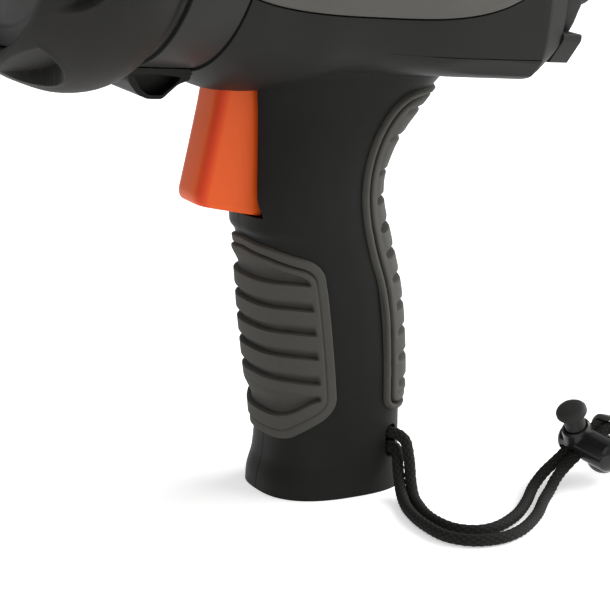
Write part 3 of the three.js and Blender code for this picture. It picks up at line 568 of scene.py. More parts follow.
# ---------------------------------------------------------------- shader graphs
class Wire:
    """A socket that can stand in a sum: each operator adds a Math node."""

    def __init__(self, graph, socket):
        self.graph, self.socket = graph, socket

    def math(self, operation, *values):
        """A Math node on the values."""
        return self.graph.node("ShaderNodeMath", dict(operation=operation), dict(enumerate(values)))[0]

    def __add__(self, other):
        return self.math("ADD", self, other)

    def __radd__(self, other):
        return self.math("ADD", other, self)

    def __sub__(self, other):
        return self.math("SUBTRACT", self, other)

    def __rsub__(self, other):
        return self.math("SUBTRACT", other, self)

    def __mul__(self, other):
        return self.math("MULTIPLY", self, other)

    def __rmul__(self, other):
        return self.math("MULTIPLY", other, self)

    def above(self, low, high):
        """0 below low, 1 above high and a smooth S between."""
        return self.graph.node("ShaderNodeMapRange", dict(interpolation_type="SMOOTHSTEP"),
                               {"Value": self, "From Min": low, "From Max": high})[0]


class Graph:
    """The node graph of one finish."""

    def __init__(self, name):
        self.material = bpy.data.materials.new(name)
        self.material.use_nodes = True
        self.tree = self.material.node_tree
        self.shader = self.tree.nodes["Principled BSDF"]
        self.place = self.node("ShaderNodeTexCoord", {}, {})["Object"]

    def node(self, kind, settings, values):
        """A node of a type: its settings are set first, then its sockets get values or links. Its outputs
        come back."""
        made = self.tree.nodes.new(kind)
        for key, value in settings.items():
            setattr(made, key, value)
        for key, value in values.items():
            self.join(made.inputs[key], value)
        wires = [Wire(self, socket) for socket in made.outputs]
        return dict(enumerate(wires)) | {wire.socket.name: wire for wire in wires}

    def join(self, socket, value):
        """Gives a socket its value, or a link where the value is a wire."""
        if isinstance(value, Wire):
            self.tree.links.new(value.socket, socket)
        else:
            socket.default_value = value

    def set(self, **values):
        """Sets or links the shader's own sockets, named with underscores for spaces."""
        for key, value in values.items():
            self.join(self.shader.inputs[key.replace("_", " ")], value)
        return self.material

    def noise(self, size, detail=2.0, roughness=0.5, vector=None):
        """Noise whose features are about the size given, in millimetres, from 0 to 1."""
        return self.node("ShaderNodeTexNoise", {}, {"Vector": vector or self.place, "Scale": 1 / (size * MM),
                                    "Detail": detail, "Roughness": roughness})[0]

    def mix(self, factor, a, b):
        """Between two colours."""
        node = self.tree.nodes.new("ShaderNodeMix")
        node.data_type = "RGBA"
        for socket, value in ((node.inputs[0], factor), (node.inputs[6], a), (node.inputs[7], b)):
            self.join(socket, value if isinstance(value, Wire) or np.isscalar(value) else (*value[:3], 1))
        return Wire(self, node.outputs[2])

    def bump(self, height, depth):
        """A normal from a height of 0 to 1 that stands for the depth given, in millimetres."""
        return self.node("ShaderNodeBump", {}, {"Height": height, "Distance": depth * MM})["Normal"]

    def attribute(self, name):
        """A value that is stored on the mesh's points."""
        return self.node("ShaderNodeAttribute", dict(attribute_name=name), {})["Fac"]


def tint(colour, share):
    """The colour, lighter or darker by a share."""
    return tuple(min(1.0, c * share) for c in colour)


def moulded(name, colour, roughness, grain=0.32, depth=0.012, cloud=0.14, coat=0.0, rough_spread=0.14,
            gloss=0.1, shade=1.0):
    """Moulded plastic: a fine eroded grain, slow clouds of tone, faint rubbed patches that shine a little
    more, and painted shade below a height of 108 to 114 mm, where the colour keeps only the share shade."""
    g = Graph(name)
    broad = g.noise(34, 3, 0.55)
    rubbed = g.noise(9, 4, 0.6).above(0.5, 0.78)
    fine = g.noise(grain, 2, 0.6)
    base = g.mix(broad, tint(colour, 1 - cloud), tint(colour, 1 + cloud))
    base = g.mix(rubbed * 0.35, base, tint(colour, 1.22))
    # Painted shade: everything below 108 to 114 mm (the grip and the body's lowest edge) is darkened towards
    # black.
    low = 1 - g.node("ShaderNodeSeparateXYZ", {}, {"Vector": g.place})["Z"].above(0.108, 0.114)
    base = g.mix(low * (1 - shade), base, (0.0, 0.0, 0.0))
    return g.set(Base_Color=base, Roughness=roughness + rough_spread * (fine - 0.5) - 0.07 * rubbed,
                 Normal=g.bump(fine, depth), Coat_Weight=coat, Coat_Roughness=0.2, Specular_IOR_Level=gloss)


def rubber(name, colour, roughness=0.72, grain=0.4, depth=0.02, dust=0.2):
    """Soft rubber: a matt skin with a pebbled grain, grey bloom on it, and painted shade that darkens it in
    creases, crevices and scallop walls by a weight stored on the mesh's points."""
    g = Graph(name)
    fine = g.noise(grain, 3, 0.65)
    bloom = g.noise(14, 4, 0.62).above(0.42, 0.8)
    base = g.mix(fine, tint(colour, 0.86), tint(colour, 1.12))
    base = g.mix(bloom * dust, base, tint(colour, 1.5))
    # Painted shade: the colour falls towards a tenth of itself where the stored crease weight is high.
    base = g.mix(g.attribute("painted_crease_shade"), base, tint(colour, 0.10))
    return g.set(Base_Color=base, Roughness=roughness + 0.12 * (fine - 0.5) + 0.06 * bloom,
                 Normal=g.bump(fine, depth), Specular_IOR_Level=0.12)


def metal(name, colour, roughness=0.32, brushed=True):
    """Plated or machined metal: fine lines across one way and faint tarnish."""
    g = Graph(name)
    stretched = g.node("ShaderNodeMapping", {}, {"Vector": g.place,
                                                 "Scale": (1, 1, 9) if brushed else (1, 1, 1)})[0]
    lines = g.noise(1.2, 3, 0.6, vector=stretched)
    tarnish = g.noise(6, 3)
    base = g.mix(tarnish, tint(colour, 0.78), tint(colour, 1.05))
    return g.set(Base_Color=base, Metallic=1.0, Roughness=roughness + 0.2 * (lines - 0.5),
                 Normal=g.bump(lines, 0.01))


def trigger_plastic(name, colour):
    """Satin orange plastic with painted shade in the cove along its edge, where the attribute cove is high:
    there the colour turns darker and redder.
    """
    g = Graph(name)
    fine = g.noise(0.35, 2, 0.6)
    broad = g.noise(16, 3)
    base = g.mix(broad, tint(colour, 0.95), tint(colour, 1.04))
    # Painted shade: the coved corners get a darker, redder orange that stands in for their shading.
    base = g.mix(g.attribute("cove"), base, (colour[0] * 0.88, colour[1] * 0.50, colour[2] * 0.7))
    return g.set(Base_Color=base, Roughness=0.42 + 0.1 * (fine - 0.5), Normal=g.bump(fine, 0.008),
                 Specular_IOR_Level=0.25)


def braid(name, colour):
    """Braided cord: dull fibres with painted highlight on the crowns of the braid and painted shade between
    them, by the attribute crown."""
    g = Graph(name)
    fibre = g.noise(0.16, 2, 0.7)
    # Painted light: the colour runs from a dark painted shade in the braid's valleys to a painted highlight
    # on its crowns.
    base = g.mix(g.attribute("crown"), tint(colour, 0.18), tint(colour, 2.4))
    base = g.mix(fibre * 0.4, base, tint(colour, 0.7))
    return g.set(Base_Color=base, Roughness=0.86 + 0.1 * (fibre - 0.5), Normal=g.bump(fibre, 0.02),
                 Specular_IOR_Level=0.15)


def circuit(name):
    """Green solder mask over tracks that show as slightly lighter blocks."""
    g = Graph(name)
    tracks = g.node("ShaderNodeTexVoronoi", dict(distance="CHEBYCHEV", feature="F1"),
                    {"Vector": g.place, "Scale": 260.0})["Distance"].above(0.25, 0.4)
    base = g.mix(tracks, (0.012, 0.075, 0.028), (0.02, 0.12, 0.045))
    return g.set(Base_Color=base, Roughness=0.38 + 0.1 * tracks, Normal=g.bump(tracks, 0.03))


def cell_sleeve(name):
    """A plain two-tone shrink sleeve round a dry cell, parted at a height along each cell."""
    g = Graph(name)
    height = g.node("ShaderNodeSeparateXYZ", {}, {"Vector": g.place})["Z"]
    band = g.node("ShaderNodeMath", dict(operation="FRACT"),
                  {0: (height - 0.0082) * (1 / 0.0501)})[0].above(0.66, 0.67)
    base = g.mix(band, (0.012, 0.012, 0.012), (0.42, 0.22, 0.05))
    scuff = g.noise(5, 4, 0.6)
    return g.set(Base_Color=base, Metallic=0.35, Roughness=0.3 + 0.15 * scuff)


def screen(name):
    """A blank reflective liquid crystal, grey-green with a faint cell grid."""
    g = Graph(name)
    cells = g.node("ShaderNodeTexVoronoi", dict(distance="CHEBYCHEV"),
                   {"Vector": g.place, "Scale": 1800.0})["Distance"]
    base = g.mix(cells, (0.25, 0.30, 0.20), (0.31, 0.36, 0.25))
    return g.set(Base_Color=base, Roughness=0.32 + 0.08 * cells)


def clear_pane(name):
    """A clear plastic pane, faintly smoked, with small wiping marks in its gloss."""
    g = Graph(name)
    marks = g.noise(3, 5, 0.7).above(0.45, 0.9)
    return g.set(Base_Color=(0.10, 0.115, 0.115, 1), Alpha=0.34 + 0.05 * marks,
                 Roughness=0.06 + 0.08 * marks, IOR=1.49)


def pale_floor(name):
    """The stage's floor: nearly white, matt and faintly lit from within."""
    g = Graph(name)
    mottled = g.noise(400, 3)
    return g.set(Base_Color=g.mix(mottled, (0.93, 0.93, 0.93), (0.95, 0.95, 0.95)),
                 Roughness=0.7 + 0.05 * mottled,
                 Specular_IOR_Level=0.1, Emission_Color=(1, 1, 1, 1), Emission_Strength=FLOOR_GLOW)


FINISHES = {}


def finish(key):
    """The finish of that name, made the first time it is asked for."""
    if key not in FINISHES:
        c = colours()
        maker, values, details = {
            # The housing gets painted shade below about 111 mm, keeping 0.62 of its colour.
            "black_plastic": (moulded, (c.housing, 0.5), dict(shade=0.62)),
            "charcoal_plastic": (moulded, (c.collar, 0.46), dict(grain=0.28)),
            "gray_plastic": (moulded, (c.panel, 0.44), dict(grain=0.3, cloud=0.07)),
            "bumper_rubber": (rubber, (c.bumper, 0.6), dict(grain=0.5, dust=0.16)),
            "grip_rubber": (rubber, (c.pads, 0.7), {}),
            "trigger_plastic": (trigger_plastic, (c.trigger,), {}),
            "steel": (metal, ((0.52, 0.52, 0.53),), {}),
            "aluminium": (metal, ((0.6, 0.6, 0.62), 0.38), {}),
            "metallised_plastic": (metal, ((0.55, 0.55, 0.57), 0.28, False), {}),
            "circuit_board": (circuit, (), {}),
            "window": (clear_pane, (), {}),
            "lcd": (screen, (), {}),
            "braided_cord": (braid, (c.cord,), {}),
            "gloss_black": (moulded, ((0.011, 0.011, 0.011), 0.2), dict(grain=1.4, depth=0.004, coat=0.4)),
            "cell_wrap": (cell_sleeve, (), {}),
            "floor": (pale_floor, (), {}),
        }[key]
        FINISHES[key] = maker(key, *values, **details)
    return FINISHES[key]


def piece(thing, slot, body, *nodes):
    """Gives a finished piece its finish, its body and the CAD nodes that it stands for."""
    thing.data.materials.clear()
    thing.data.materials.append(finish(slot))
    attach(thing, body)
    if nodes:
        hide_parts(*nodes)
    return thing


def dress(slot, *nodes):
    """Gives CAD nodes that keep their own shape a finish."""
    for name in nodes:
        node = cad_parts[name]
        node.data.materials.clear()
        node.data.materials.append(finish(slot))


# ---------------------------------------------------------------- grip pads
def quadratic(*points, steps=14):
    """Points along straight lines and quadratic curves: an entry of two points is a control point and an
    end."""
    line = [np.array(points[0], float)]
    for entry in points[1:]:
        if np.ndim(entry) == 1:
            line.append(np.array(entry, float))
        else:
            start, control, end = line[-1], np.array(entry[0], float), np.array(entry[1], float)
            t = np.linspace(0, 1, steps + 1)[1:, None]
            line.extend(start * (1 - t) ** 2 + 2 * control * t * (1 - t) + end * t * t)
    return np.array(line)


def spaced(line, count):
    """The same line at evenly spaced points."""
    far = np.concatenate([[0], np.cumsum(np.linalg.norm(np.diff(line, axis=0), axis=1))])
    at = np.linspace(0, far[-1], count)
    return np.stack([np.interp(at, far, line[:, i]) for i in range(line.shape[1])], -1)


def on_grip(line, front):
    """A side-view line (x, z) on the grip's left side as (direction angle from the pad's middle, height).
    The width there is the half width times the superellipse root of what the depth leaves."""
    x, z = line[:, 0], line[:, 1]
    fore, rear, half = grip_front(z), grip_rear(z), grip_half(z)
    across_half = (rear - fore) / 2
    share = np.clip((x - (fore + rear) / 2) / across_half, -1, 1)
    y = half * (1 - np.abs(share) ** GRIP_EXPONENT) ** (1 / GRIP_EXPONENT)
    along = share * across_half
    return np.stack([np.arctan2(-y, -along if front else along), z], -1)


def coons(outline, split_low, split_high, rows, columns):
    """A patch between four edges. outline is the left half of the pad's edge, top middle to bottom middle,
    as (angle, height);
    the two splits, as shares of its length, are its corners. Each point is the sum of the two straight
    blends less the corner blend."""
    dense = spaced(outline, 2001)
    high, low = int(2000 * split_high), int(2000 * split_low)
    top, side, foot = dense[:high + 1], dense[high:low + 1], dense[low:]
    mirror = np.array([-1, 1.0])
    top_edge = spaced(np.concatenate([top[::-1], top[1:] * mirror]), columns)
    foot_edge = spaced(np.concatenate([foot, (foot * mirror)[-2::-1]]), columns)
    left = spaced(side[::-1], rows)
    right = left * mirror
    u = np.linspace(0, 1, columns)[None, :, None]
    v = np.linspace(0, 1, rows)[:, None, None]
    blend = foot_edge[None] * (1 - v) + top_edge[None] * v + left[:, None] * (1 - u) + right[:, None] * u
    corner = (foot_edge[0] * (1 - u) * (1 - v) + foot_edge[-1] * u * (1 - v)
              + top_edge[0] * (1 - u) * v + top_edge[-1] * u * v)
    return blend - corner


def edge_distance(points, outline):
    """Distance of every point to the nearest of a ring of edge points, in blocks of rows."""
    ring = outline.reshape(-1, 3)
    return np.concatenate([np.sqrt(((rows[..., None, :] - ring) ** 2).sum(-1).min(-1))
                           for rows in np.array_split(points, max(1, points.shape[0] // 12))])


def outward(grid):
    """Unit normals of a grid of points, from the cross product of its two slopes, turned away from the
    upright axis."""
    normal = np.cross(np.gradient(grid, axis=1), np.gradient(grid, axis=0))
    normal /= np.linalg.norm(normal, axis=-1, keepdims=True) + 1e-12
    away = grid * np.array([1.0, 1.0, 0.0])
    return normal if (normal * away).sum(-1).mean() > 0 else -normal


def pad(name, outline, front, splits, rows, columns, relief):
    """A rubber pad on the grip: the patch is lifted along its normals by a height that relief works out
    from the distance to the edge and the place on the grip."""
    edge = on_grip(outline, front)
    flat = coons(edge, *splits, rows, columns)
    alpha, z = flat[..., 0], flat[..., 1]
    turn = math.pi - alpha if front else alpha
    base = grip_point(turn, z)
    ring = np.concatenate([base[0], base[-1], base[:, 0], base[:, -1]])
    ring = spaced_ring(edge, front, ring)
    far = edge_distance(base, ring)
    normal = outward(base)
    height, painted_crease_shade = relief(far, base, alpha)
    mesh = slab_mesh(name, base + normal * height[..., None], base - normal * PAD_SINK)
    # The painted shade weight goes on the top face only.
    mark_points(mesh, "painted_crease_shade", [painted_crease_shade, painted_crease_shade * 0])
    return put_object(name, mesh, 60)


def spaced_ring(edge, front, ring):
    """Edge points of both sides, closely spaced."""
    dense = spaced(edge, 700)
    both = np.concatenate([dense, dense * np.array([-1, 1.0])])
    turn = math.pi - both[:, 0] if front else both[:, 0]
    return np.concatenate([grip_point(turn, both[:, 1]), ring])


FRONT_CREVICES = (57.2, 50.6, 44.3, 38.0, 31.4, 25.4)
REAR_CREVICES = (99.6, 92.7, 84.0, 76.2, 68.9, 61.9, 55.0, 47.9, 41.0, 34.2, 27.3)


def front_relief(far, base, _alpha):
    """Height of the front pad: a rounded rim, a fine step up to the field, and six grooves that deepen
    downwards and end against the next rib's top edge. Also the weight of painted shade along the step, inside
    the grooves and in the crevices at their floors."""
    x, z = base[..., 0], base[..., 2]
    depth = sizes().rib_depth / MM
    rim = 1.12 * np.sqrt(np.clip(1 - (1 - np.clip(far / 0.55, 0, 1)) ** 2, 0, 1))
    upper = ease((z - 56) / 6)
    inner = 2.75
    height = rim - 0.05 + 0.46 * ease((far - inner) / 0.35)
    line = np.exp(-((far - inner + 0.18) / 0.24) ** 2)
    height -= (0.18 + 0.30 * upper) * line
    # Painted shade along the fine step, stronger in the upper part.
    painted_crease_shade = line * (0.22 + 0.65 * upper)
    field = ease((far - 3.9) / 0.8)
    around_front = ease((-8.0 - x) / 10)
    for level, crevice in enumerate(FRONT_CREVICES):
        floor = crevice + 0.9 * around_front
        ceiling = floor + 2.45
        if level == 0:
            ceiling = floor + 2.2 + 3.4 * ease((-11 - x) / 8)
        if level == 5:
            floor = 22.2 + 4.8 * ease((x + 18) / 8.5)
            ceiling = 28.6 + 0.6 * around_front
        down = np.clip((ceiling - z) / np.maximum(ceiling - floor, 0.05), 0, 1)
        inside = (z > floor - 0.02) & (z < ceiling)
        cut = np.where(inside, depth * ease(down * 1.15), 0.0)
        cut = np.where((z <= floor) & (z > floor - 0.42), depth * ease((z - floor + 0.42) / 0.42), cut)
        height -= cut * field
        # Painted shade inside each groove, deepening downwards, and a dark painted-shade line in the crevice
        # at its floor.
        painted_crease_shade = np.maximum(painted_crease_shade, field * inside * (0.16 + 0.24 * down))
        painted_crease_shade = np.maximum(painted_crease_shade, field * np.exp(-((z - floor - 0.10) / 0.22) ** 2) * 0.8)
    return height, np.clip(painted_crease_shade, 0, 1)


def rear_relief(far, base, alpha):
    """Height of the rear pad: a rounded rim, a deep narrow channel inside it, a smooth band and finger
    grooves across the back. Also the weight of painted shade in the channel and in the crevices of the
    grooves."""
    z = base[..., 2]
    depth = sizes().rib_depth / MM * 1.25
    rim = 1.35 * np.sqrt(np.clip(1 - (1 - np.clip(far / 0.8, 0, 1)) ** 2, 0, 1))
    channel = np.exp(-((far - 1.85) / 0.40) ** 4)
    height = rim - 1.3 * channel + 0.15 * ease((far - 2.3) / 0.8)
    # Painted shade in the narrow channel inside the rim.
    painted_crease_shade = channel
    back = ease((0.98 - np.abs(alpha)) / 0.16) * ease((far - 4.2) / 0.8)
    height += 0.25 * back
    for level, crevice in enumerate(REAR_CREVICES):
        wide = 2.4 if level > 2 else 1.5
        slope = crevice - 1.2 * (np.abs(alpha) - 0.5)
        down = np.clip((slope + wide - z) / wide, 0, 1)
        inside = (z > slope) & (z < slope + wide)
        cut = np.where(inside, depth * ease(down * 1.2), 0.0)
        cut = np.where((z <= slope) & (z > slope - 0.5), depth * ease((z - slope + 0.5) / 0.5), cut)
        height -= cut * back
        # Painted shade along each groove's lower crevice.
        painted_crease_shade = np.maximum(painted_crease_shade, back * np.exp(-((z - slope - 0.12) / 0.3) ** 2) * 0.85)
    return height, np.clip(painted_crease_shade, 0, 1)


def front_pad():
    """The front pad, from the left half of its outline in side view."""
    edge = quadratic((-24.0, 68.1), (-22.9, 68.0), (-22.3, 67.5), (-20.4, 66.8), (-13, 63.9),
                     ((-8.6, 61.9), (-8.2, 57.9)), (-5.2, 27.4),
                     ((-5, 23.9), (-9, 20.9)), (-14.6, 16.5), ((-16.5, 15), (-18.4, 15.2)))
    return pad("pad_front", edge, True, (0.80, 0.20), 250, 150, front_relief)


def rear_pad():
    """The rear pad, from the left half of its outline in side view."""
    edge = quadratic((27.6, 104.6), (18.5, 104.6), ((11.5, 104.4), (6.2, 94.4)), ((2.4, 86.9), (2.4, 77.9)),
                     ((2.6, 68.9), (6, 58.9)), ((8.8, 50.9), (8.9, 40.9)), (8.9, 24.9),
                     ((9.2, 21.1), (14, 20.7)),
                     (18.5, 20.7))
    return pad("pad_rear", edge, False, (0.915, 0.10), 330, 120, rear_relief)


# ---------------------------------------------------------------- nose
def bumper_radius(u, tangential_angle):
    """Outer radius of the rubber ring: a smooth crown, less eight scallops. A scallop is where the distance
    to its rounded outline is inside, and there the radius falls to a flat floor. Also a weight of painted
    shade along each scallop's wall."""
    crown = curve([(-18.4, 46.3), (-17.2, 47.1), (-15, 48.2), (-12, 49.6), (-9, 50.7), (-5, 51.9), (-2, 52.5),
                   (1.5, 52.6), (5, 52.2), (8, 51.3), (10.6, 50), (12.4, 48.6), (13.8, 47)])
    radius = crown(u)
    step = math.pi / 4
    local = tangential_angle % step - step / 2
    sideways = radius * np.sin(local)
    half, centre = 12.0, -18.0
    far = np.where(u > centre, np.hypot(u - centre, sideways), np.abs(sideways)) - half
    floor = (sizes().dimple_floor / MM + 0.07 * u) / np.cos(local)
    inside = ease((0.1 - far) / 0.5)
    lip = 0.16 * np.exp(-((far - 0.5) / 0.8) ** 2)
    deep = np.maximum(radius - floor, 0)
    # Painted shade along the scallops' walls, where they are deep.
    painted_crease_shade = 0.75 * np.exp(-((far + 0.35) / 0.4) ** 2) * ease((deep - 0.6) / 1.5)
    return radius - inside * deep + lip * ease((u + 18) / 3), painted_crease_shade


def bumper():
    """The rubber ring: its outer skin of rows from front to rear, then its bore back to the front."""
    angle = turns(720)[None, :]
    u = np.linspace(NOSE["front"], NOSE["rear"], 88)[:, None]
    outer, painted_crease_shade = bumper_radius(u, angle)
    inner_u = np.array([13.8, -14.2, -14.2, -16.0, -18.4])[:, None]
    inner = np.array([45.3, 45.3, 42.4, 42.6, 43.4])[:, None] * np.ones_like(angle)
    lip_u = np.array([-18.75, -18.95, -18.75])[:, None]
    lip = np.array([44.0, 45.0, 46.0])[:, None] * np.ones_like(angle)
    station = np.concatenate([u, inner_u, lip_u])
    radius = np.concatenate([outer, inner, lip])
    grid = grid_of(station, radius * np.sin(angle), radius * np.cos(angle))
    mesh = ring_mesh("bumper", in_barrel(grid))
    # Painted shade weights on the outer skin; none on the bore and lip.
    mark_points(mesh, "painted_crease_shade", np.concatenate([painted_crease_shade, np.zeros((len(station) - len(u), angle.size))]))
    return put_object("bumper", mesh, 50)


def nose_tube():
    """The barrel behind the rubber ring: one turned section with a groove for the seal and a spigot into
    the body."""
    outline = softened([(-13.6, 45), (14.0, 45), (14.0, 44), (17.6, 44), (17.6, 46.0), (32.3, 46.0),
                        (32.3, 42.8),
                        (37, 42.8), (37, 41), (31.2, 41), (18.6, 43.2), (14.6, 42), (-9, 43.2), (-11, 42.6),
                        (-13.6, 42.6)], 0.5)
    return turned("nose_tube", outline)


def seal():
    """The seal: a turned ring with a crowned outer face."""
    return turned("seal", softened([(14.3, 44.3), (14.3, 45.2), (15.7, 45.8), (17.1, 45.2), (17.1, 44.3)],
                                   0.4))


def radome():
    """The domed cover over the antenna, with a shallow step near its rim."""
    station = curve([(0, -16.2), (20, -15.8), (33, -14.8), (36.5, -14.5), (38, -13.9), (41.9, -13.9)])
    radius = np.concatenate([np.linspace(0.01, 35, 24), np.linspace(35.4, 41.9, 26)])
    outline = [(float(station(r)), float(r)) for r in radius] + [(-11.8, 41.9), (-13.8, 20), (-14.2, 0.01)]
    outline = np.array(outline)
    return put_object("radome", tube_mesh("radome",
                                          in_barrel(grid_of(outline[:, :1], *spun(outline[:, 1], 144)))))


def clip():
    """The clip under the nose: a side-view outline carried across, cut to the barrel, with a pocket on
    each side."""
    outline = [(15.8, -40), (15.8, -48.6), (18.4, -51.6), (21, -52.7), (25, -52.7), (29.0, -49.0),
               (BODY["front"] - 0.4, -47.8), (BODY["front"] - 0.4, -40)]
    pocket = [(17.0, -47.0), (19.2, -50.4), (21.5, -51.8), (24.9, -51.8), (28.6, -48.7), (29.8, -47.2),
              (23, -46.6)]
    foot = put_object("clip", prism("clip", softened(outline, 0.8), -10, 10, barrel_side))
    merged(foot, rod_mesh(46.3, *in_barrel([(10, 0, 0), (40, 0, 0)]), 256), "DIFFERENCE")
    for start, end in ((-12, -6), (6, 12)):
        merged(foot, prism("pocket", softened(pocket, 0.6), start, end, barrel_side), "DIFFERENCE")
    merged(foot, box_mesh(BODY["front"] - 0.6, BODY["front"] + BODY["wall"] + 0.3, -8, 8, -46.7, -45, True),
           "UNION")
    return smoothed(foot, 30)


# ---------------------------------------------------------------- display end
def bezel_outline(grow, steps=160):
    """The bezel's outline across the barrel: a superellipse that is taller below the axis than above it."""
    angle = turns(steps)
    tall = np.where(np.sin(angle) > 0, 34.6, 37.6) + grow
    return np.stack([(38.6 + grow) * power(np.cos(angle), 2 / 3.6), tall * power(np.sin(angle), 2 / 3.6)], -1)


def bezel():
    """The rear bezel: rings of one outline from front to rear, set in at the lip, with the display's way
    and seat cut out."""
    levels = [(119.6, -0.3), (119.9, 0), (124.0, 0), (124.5, -0.15), (124.8, -0.7), (124.8, -2.9),
              (125.0, -3.2),
              (127.0, -3.2), (127.4, -3.4), (127.6, -3.9)]
    rings = np.stack([barrel_front(bezel_outline(grow), u) for u, grow in levels])
    frame_ring = put_object("bezel", tube_mesh("bezel", rings))
    chin = softened([(-38.3, -29.8), (-38.3, -31.4), (-32.8, -37.8), (32.8, -37.8), (38.3, -31.4),
                     (38.3, -29.8)], 0.6)
    merged(frame_ring, prism("chin", chin, 119.7, 124.9, barrel_front), "UNION")
    merged(frame_ring, prism("way", round_rect(54, 36, 8, w=POD["w"]), 110, 130, barrel_front), "DIFFERENCE")
    merged(frame_ring, prism("seat", round_rect(POD["width"] + 0.6, POD["height"] + 0.6, 8, w=POD["w"]),
                             POD["u"] - 0.3, 130, barrel_front), "DIFFERENCE")
    return smoothed(frame_ring, 30)


def display_frame():
    """The display's frame: round-cornered rings that draw in over the rim, hollow, with the window and
    four key holes."""
    levels = [(POD["u"], 0), (POD_END - 1.4, 0), (POD_END - 0.7, -0.25), (POD_END - 0.2, -0.8),
              (POD_END, -1.6)]
    rings = np.stack([barrel_front(round_rect(POD["width"] + 2 * g, POD["height"] + 2 * g, POD["corner"] + g,
                                              w=POD["w"], steps=14), u) for u, g in levels])
    pod = put_object("display_frame", tube_mesh("display_frame", rings))
    merged(pod, prism("room", round_rect(POD["width"] - 5, POD["height"] - 5, 6, w=POD["w"]),
                      POD["u"] - 1, POD_END - 2.6, barrel_front), "DIFFERENCE")
    slope = np.stack([barrel_front(round_rect(WINDOW["width"] + g, WINDOW["height"] + g,
                                              WINDOW["corner"] + g / 2,
                                              w=WINDOW["w"], steps=12), u)
                      for u, g in ((POD["u"], 0), (POD_END - 0.5, 0), (POD_END + 0.5, 2.4))])
    merged(pod, tube_mesh("window", slope), "DIFFERENCE")
    for i in range(4):
        y = (i - 1.5) * KEY["pitch"]
        hole = round_rect(KEY["width"] + 0.6, KEY["height"] + 0.6, KEY["corner"], y=y, w=KEY["w"])
        merged(pod, prism("hole", hole, POD["u"], POD_END + 1, barrel_front), "DIFFERENCE")
    return smoothed(pod, 30)


def pane():
    """The clear pane that closes the window."""
    outline = round_rect(WINDOW["width"] - 0.6, WINDOW["height"] - 0.6, 2.7, w=WINDOW["w"], steps=10)
    thing = put_object("window_pane", prism("window_pane", outline, POD_END - 1.8, POD_END - 0.5,
                                            barrel_front))
    return bevelled(thing, 0.25, 2)


def key_cap(name, index):
    """A rubber key: rings of a round-cornered outline that draw in over a domed top, on a wider flange."""
    y = (index - 1.5) * KEY["pitch"]
    top = POD_END + KEY["proud"]
    turn = np.linspace(0, math.pi / 2, 7)
    levels = [(POD_END - 4.1, 1.2), (POD_END - 2.9, 1.2), (POD_END - 2.9, 0)]
    levels += [(top - 0.7 + 0.7 * math.sin(t), -0.7 * (1 - math.cos(t))) for t in turn]
    levels += [(top + 0.12, -1.6), (top + 0.02, -2.2)]
    rings = np.stack([barrel_front(round_rect(KEY["width"] + 2 * g, KEY["height"] + 2 * g,
                                              max(0.3, KEY["corner"] + g),
                                              y=y, w=KEY["w"], steps=10), u) for u, g in levels])
    return put_object(name, tube_mesh(name, rings), 50)


# ---------------------------------------------------------------- trigger
def trigger_blade():
    """The blade: level sections from its slanted foot to its top. Each has a narrow front, coved corners,
    flat sides and rounded rear corners, and its front and rear follow two curves of height."""
    low, high, half, cove = TRIGGER["low"], TRIGGER["top"], TRIGGER["half"], TRIGGER["cove"]
    front = curve([(low, -38.7), (78.5, -38.9), (80.5, -38.5), (88, -36.8), (95, -35.2), (102, -33.6),
                   (high, -32.2)])
    rear = curve([(74, -20.3), (low, -20.7), (78.5, -21.3), (81, -21.5), (95, -21.2), (high, -20.9)])
    bend = np.linspace(0, math.pi / 2, 9)
    cove_x, cove_y = cove * (1 - np.cos(bend)), cove * (1 - np.sin(bend))
    front_round = 0.5
    left = np.stack([np.concatenate([[0.0, 0.0, 0.06, 0.2], 0.25 + cove_x, [cove + 0.7, cove + 1.2]]),
                     np.concatenate([[0.0, half - cove - 1.0, half - cove - 0.5,
                                      half - cove - front_round * 0.4],
                                     half - cove_y - 0.12, [half - 0.02, half]])], -1)
    t = np.linspace(0, 1, 44)
    t = np.concatenate([[0, 0.002, 0.006, 0.014, 0.026, 0.042], 0.06 + 0.94 * t])[:, None]
    rounding = np.concatenate([[1.1, 0.72, 0.42, 0.2, 0.07, 0.0], np.zeros(44)])[:, None]
    rear_pts = np.array([(1.0, half), (0.5, half - 0.03), (0.2, half - 0.18), (0.06, half - 0.45),
                         (0.0, half - 0.9), (0.0, 0.0)])
    x_from_front, y_a = left[:, 0], left[:, 1]
    z_guess = low + t * (high - low)
    fore, aft = front(z_guess) + rounding, rear(z_guess) - rounding
    x = np.concatenate([fore + x_from_front[None], aft - rear_pts[:, 0][None]], 1)
    wide = np.concatenate([y_a, rear_pts[:, 1]])[None]
    y = wide * np.ones_like(t) - rounding * wide / half
    (foot_x, foot_z), (heel_x, heel_z) = (-36.4, 77.8), (-23.6, 74.6)
    foot = foot_z + (x - foot_x) * (heel_z - foot_z) / (heel_x - foot_x)
    z = foot * (1 - t) + high * t
    half_ring = grid_of(x, -y, z)
    other = half_ring[:, -2:0:-1] * np.array([1, -1, 1.0])
    rings = np.concatenate([half_ring, other], 1)
    mesh = tube_mesh("trigger", rings)
    # Painted shade weights for the coved corners, read by the trigger's finish as the attribute cove.
    near = np.zeros(half_ring.shape[:2])
    near[:, 4:13] = np.sin(np.linspace(0.25, math.pi - 0.25, 9)) ** 0.5
    marks = np.concatenate([near, near[:, -2:0:-1]], 1).ravel()
    mark_points(mesh, "cove", np.concatenate([marks, [0, 0]]))
    return put_object("trigger_blade", mesh, 40)


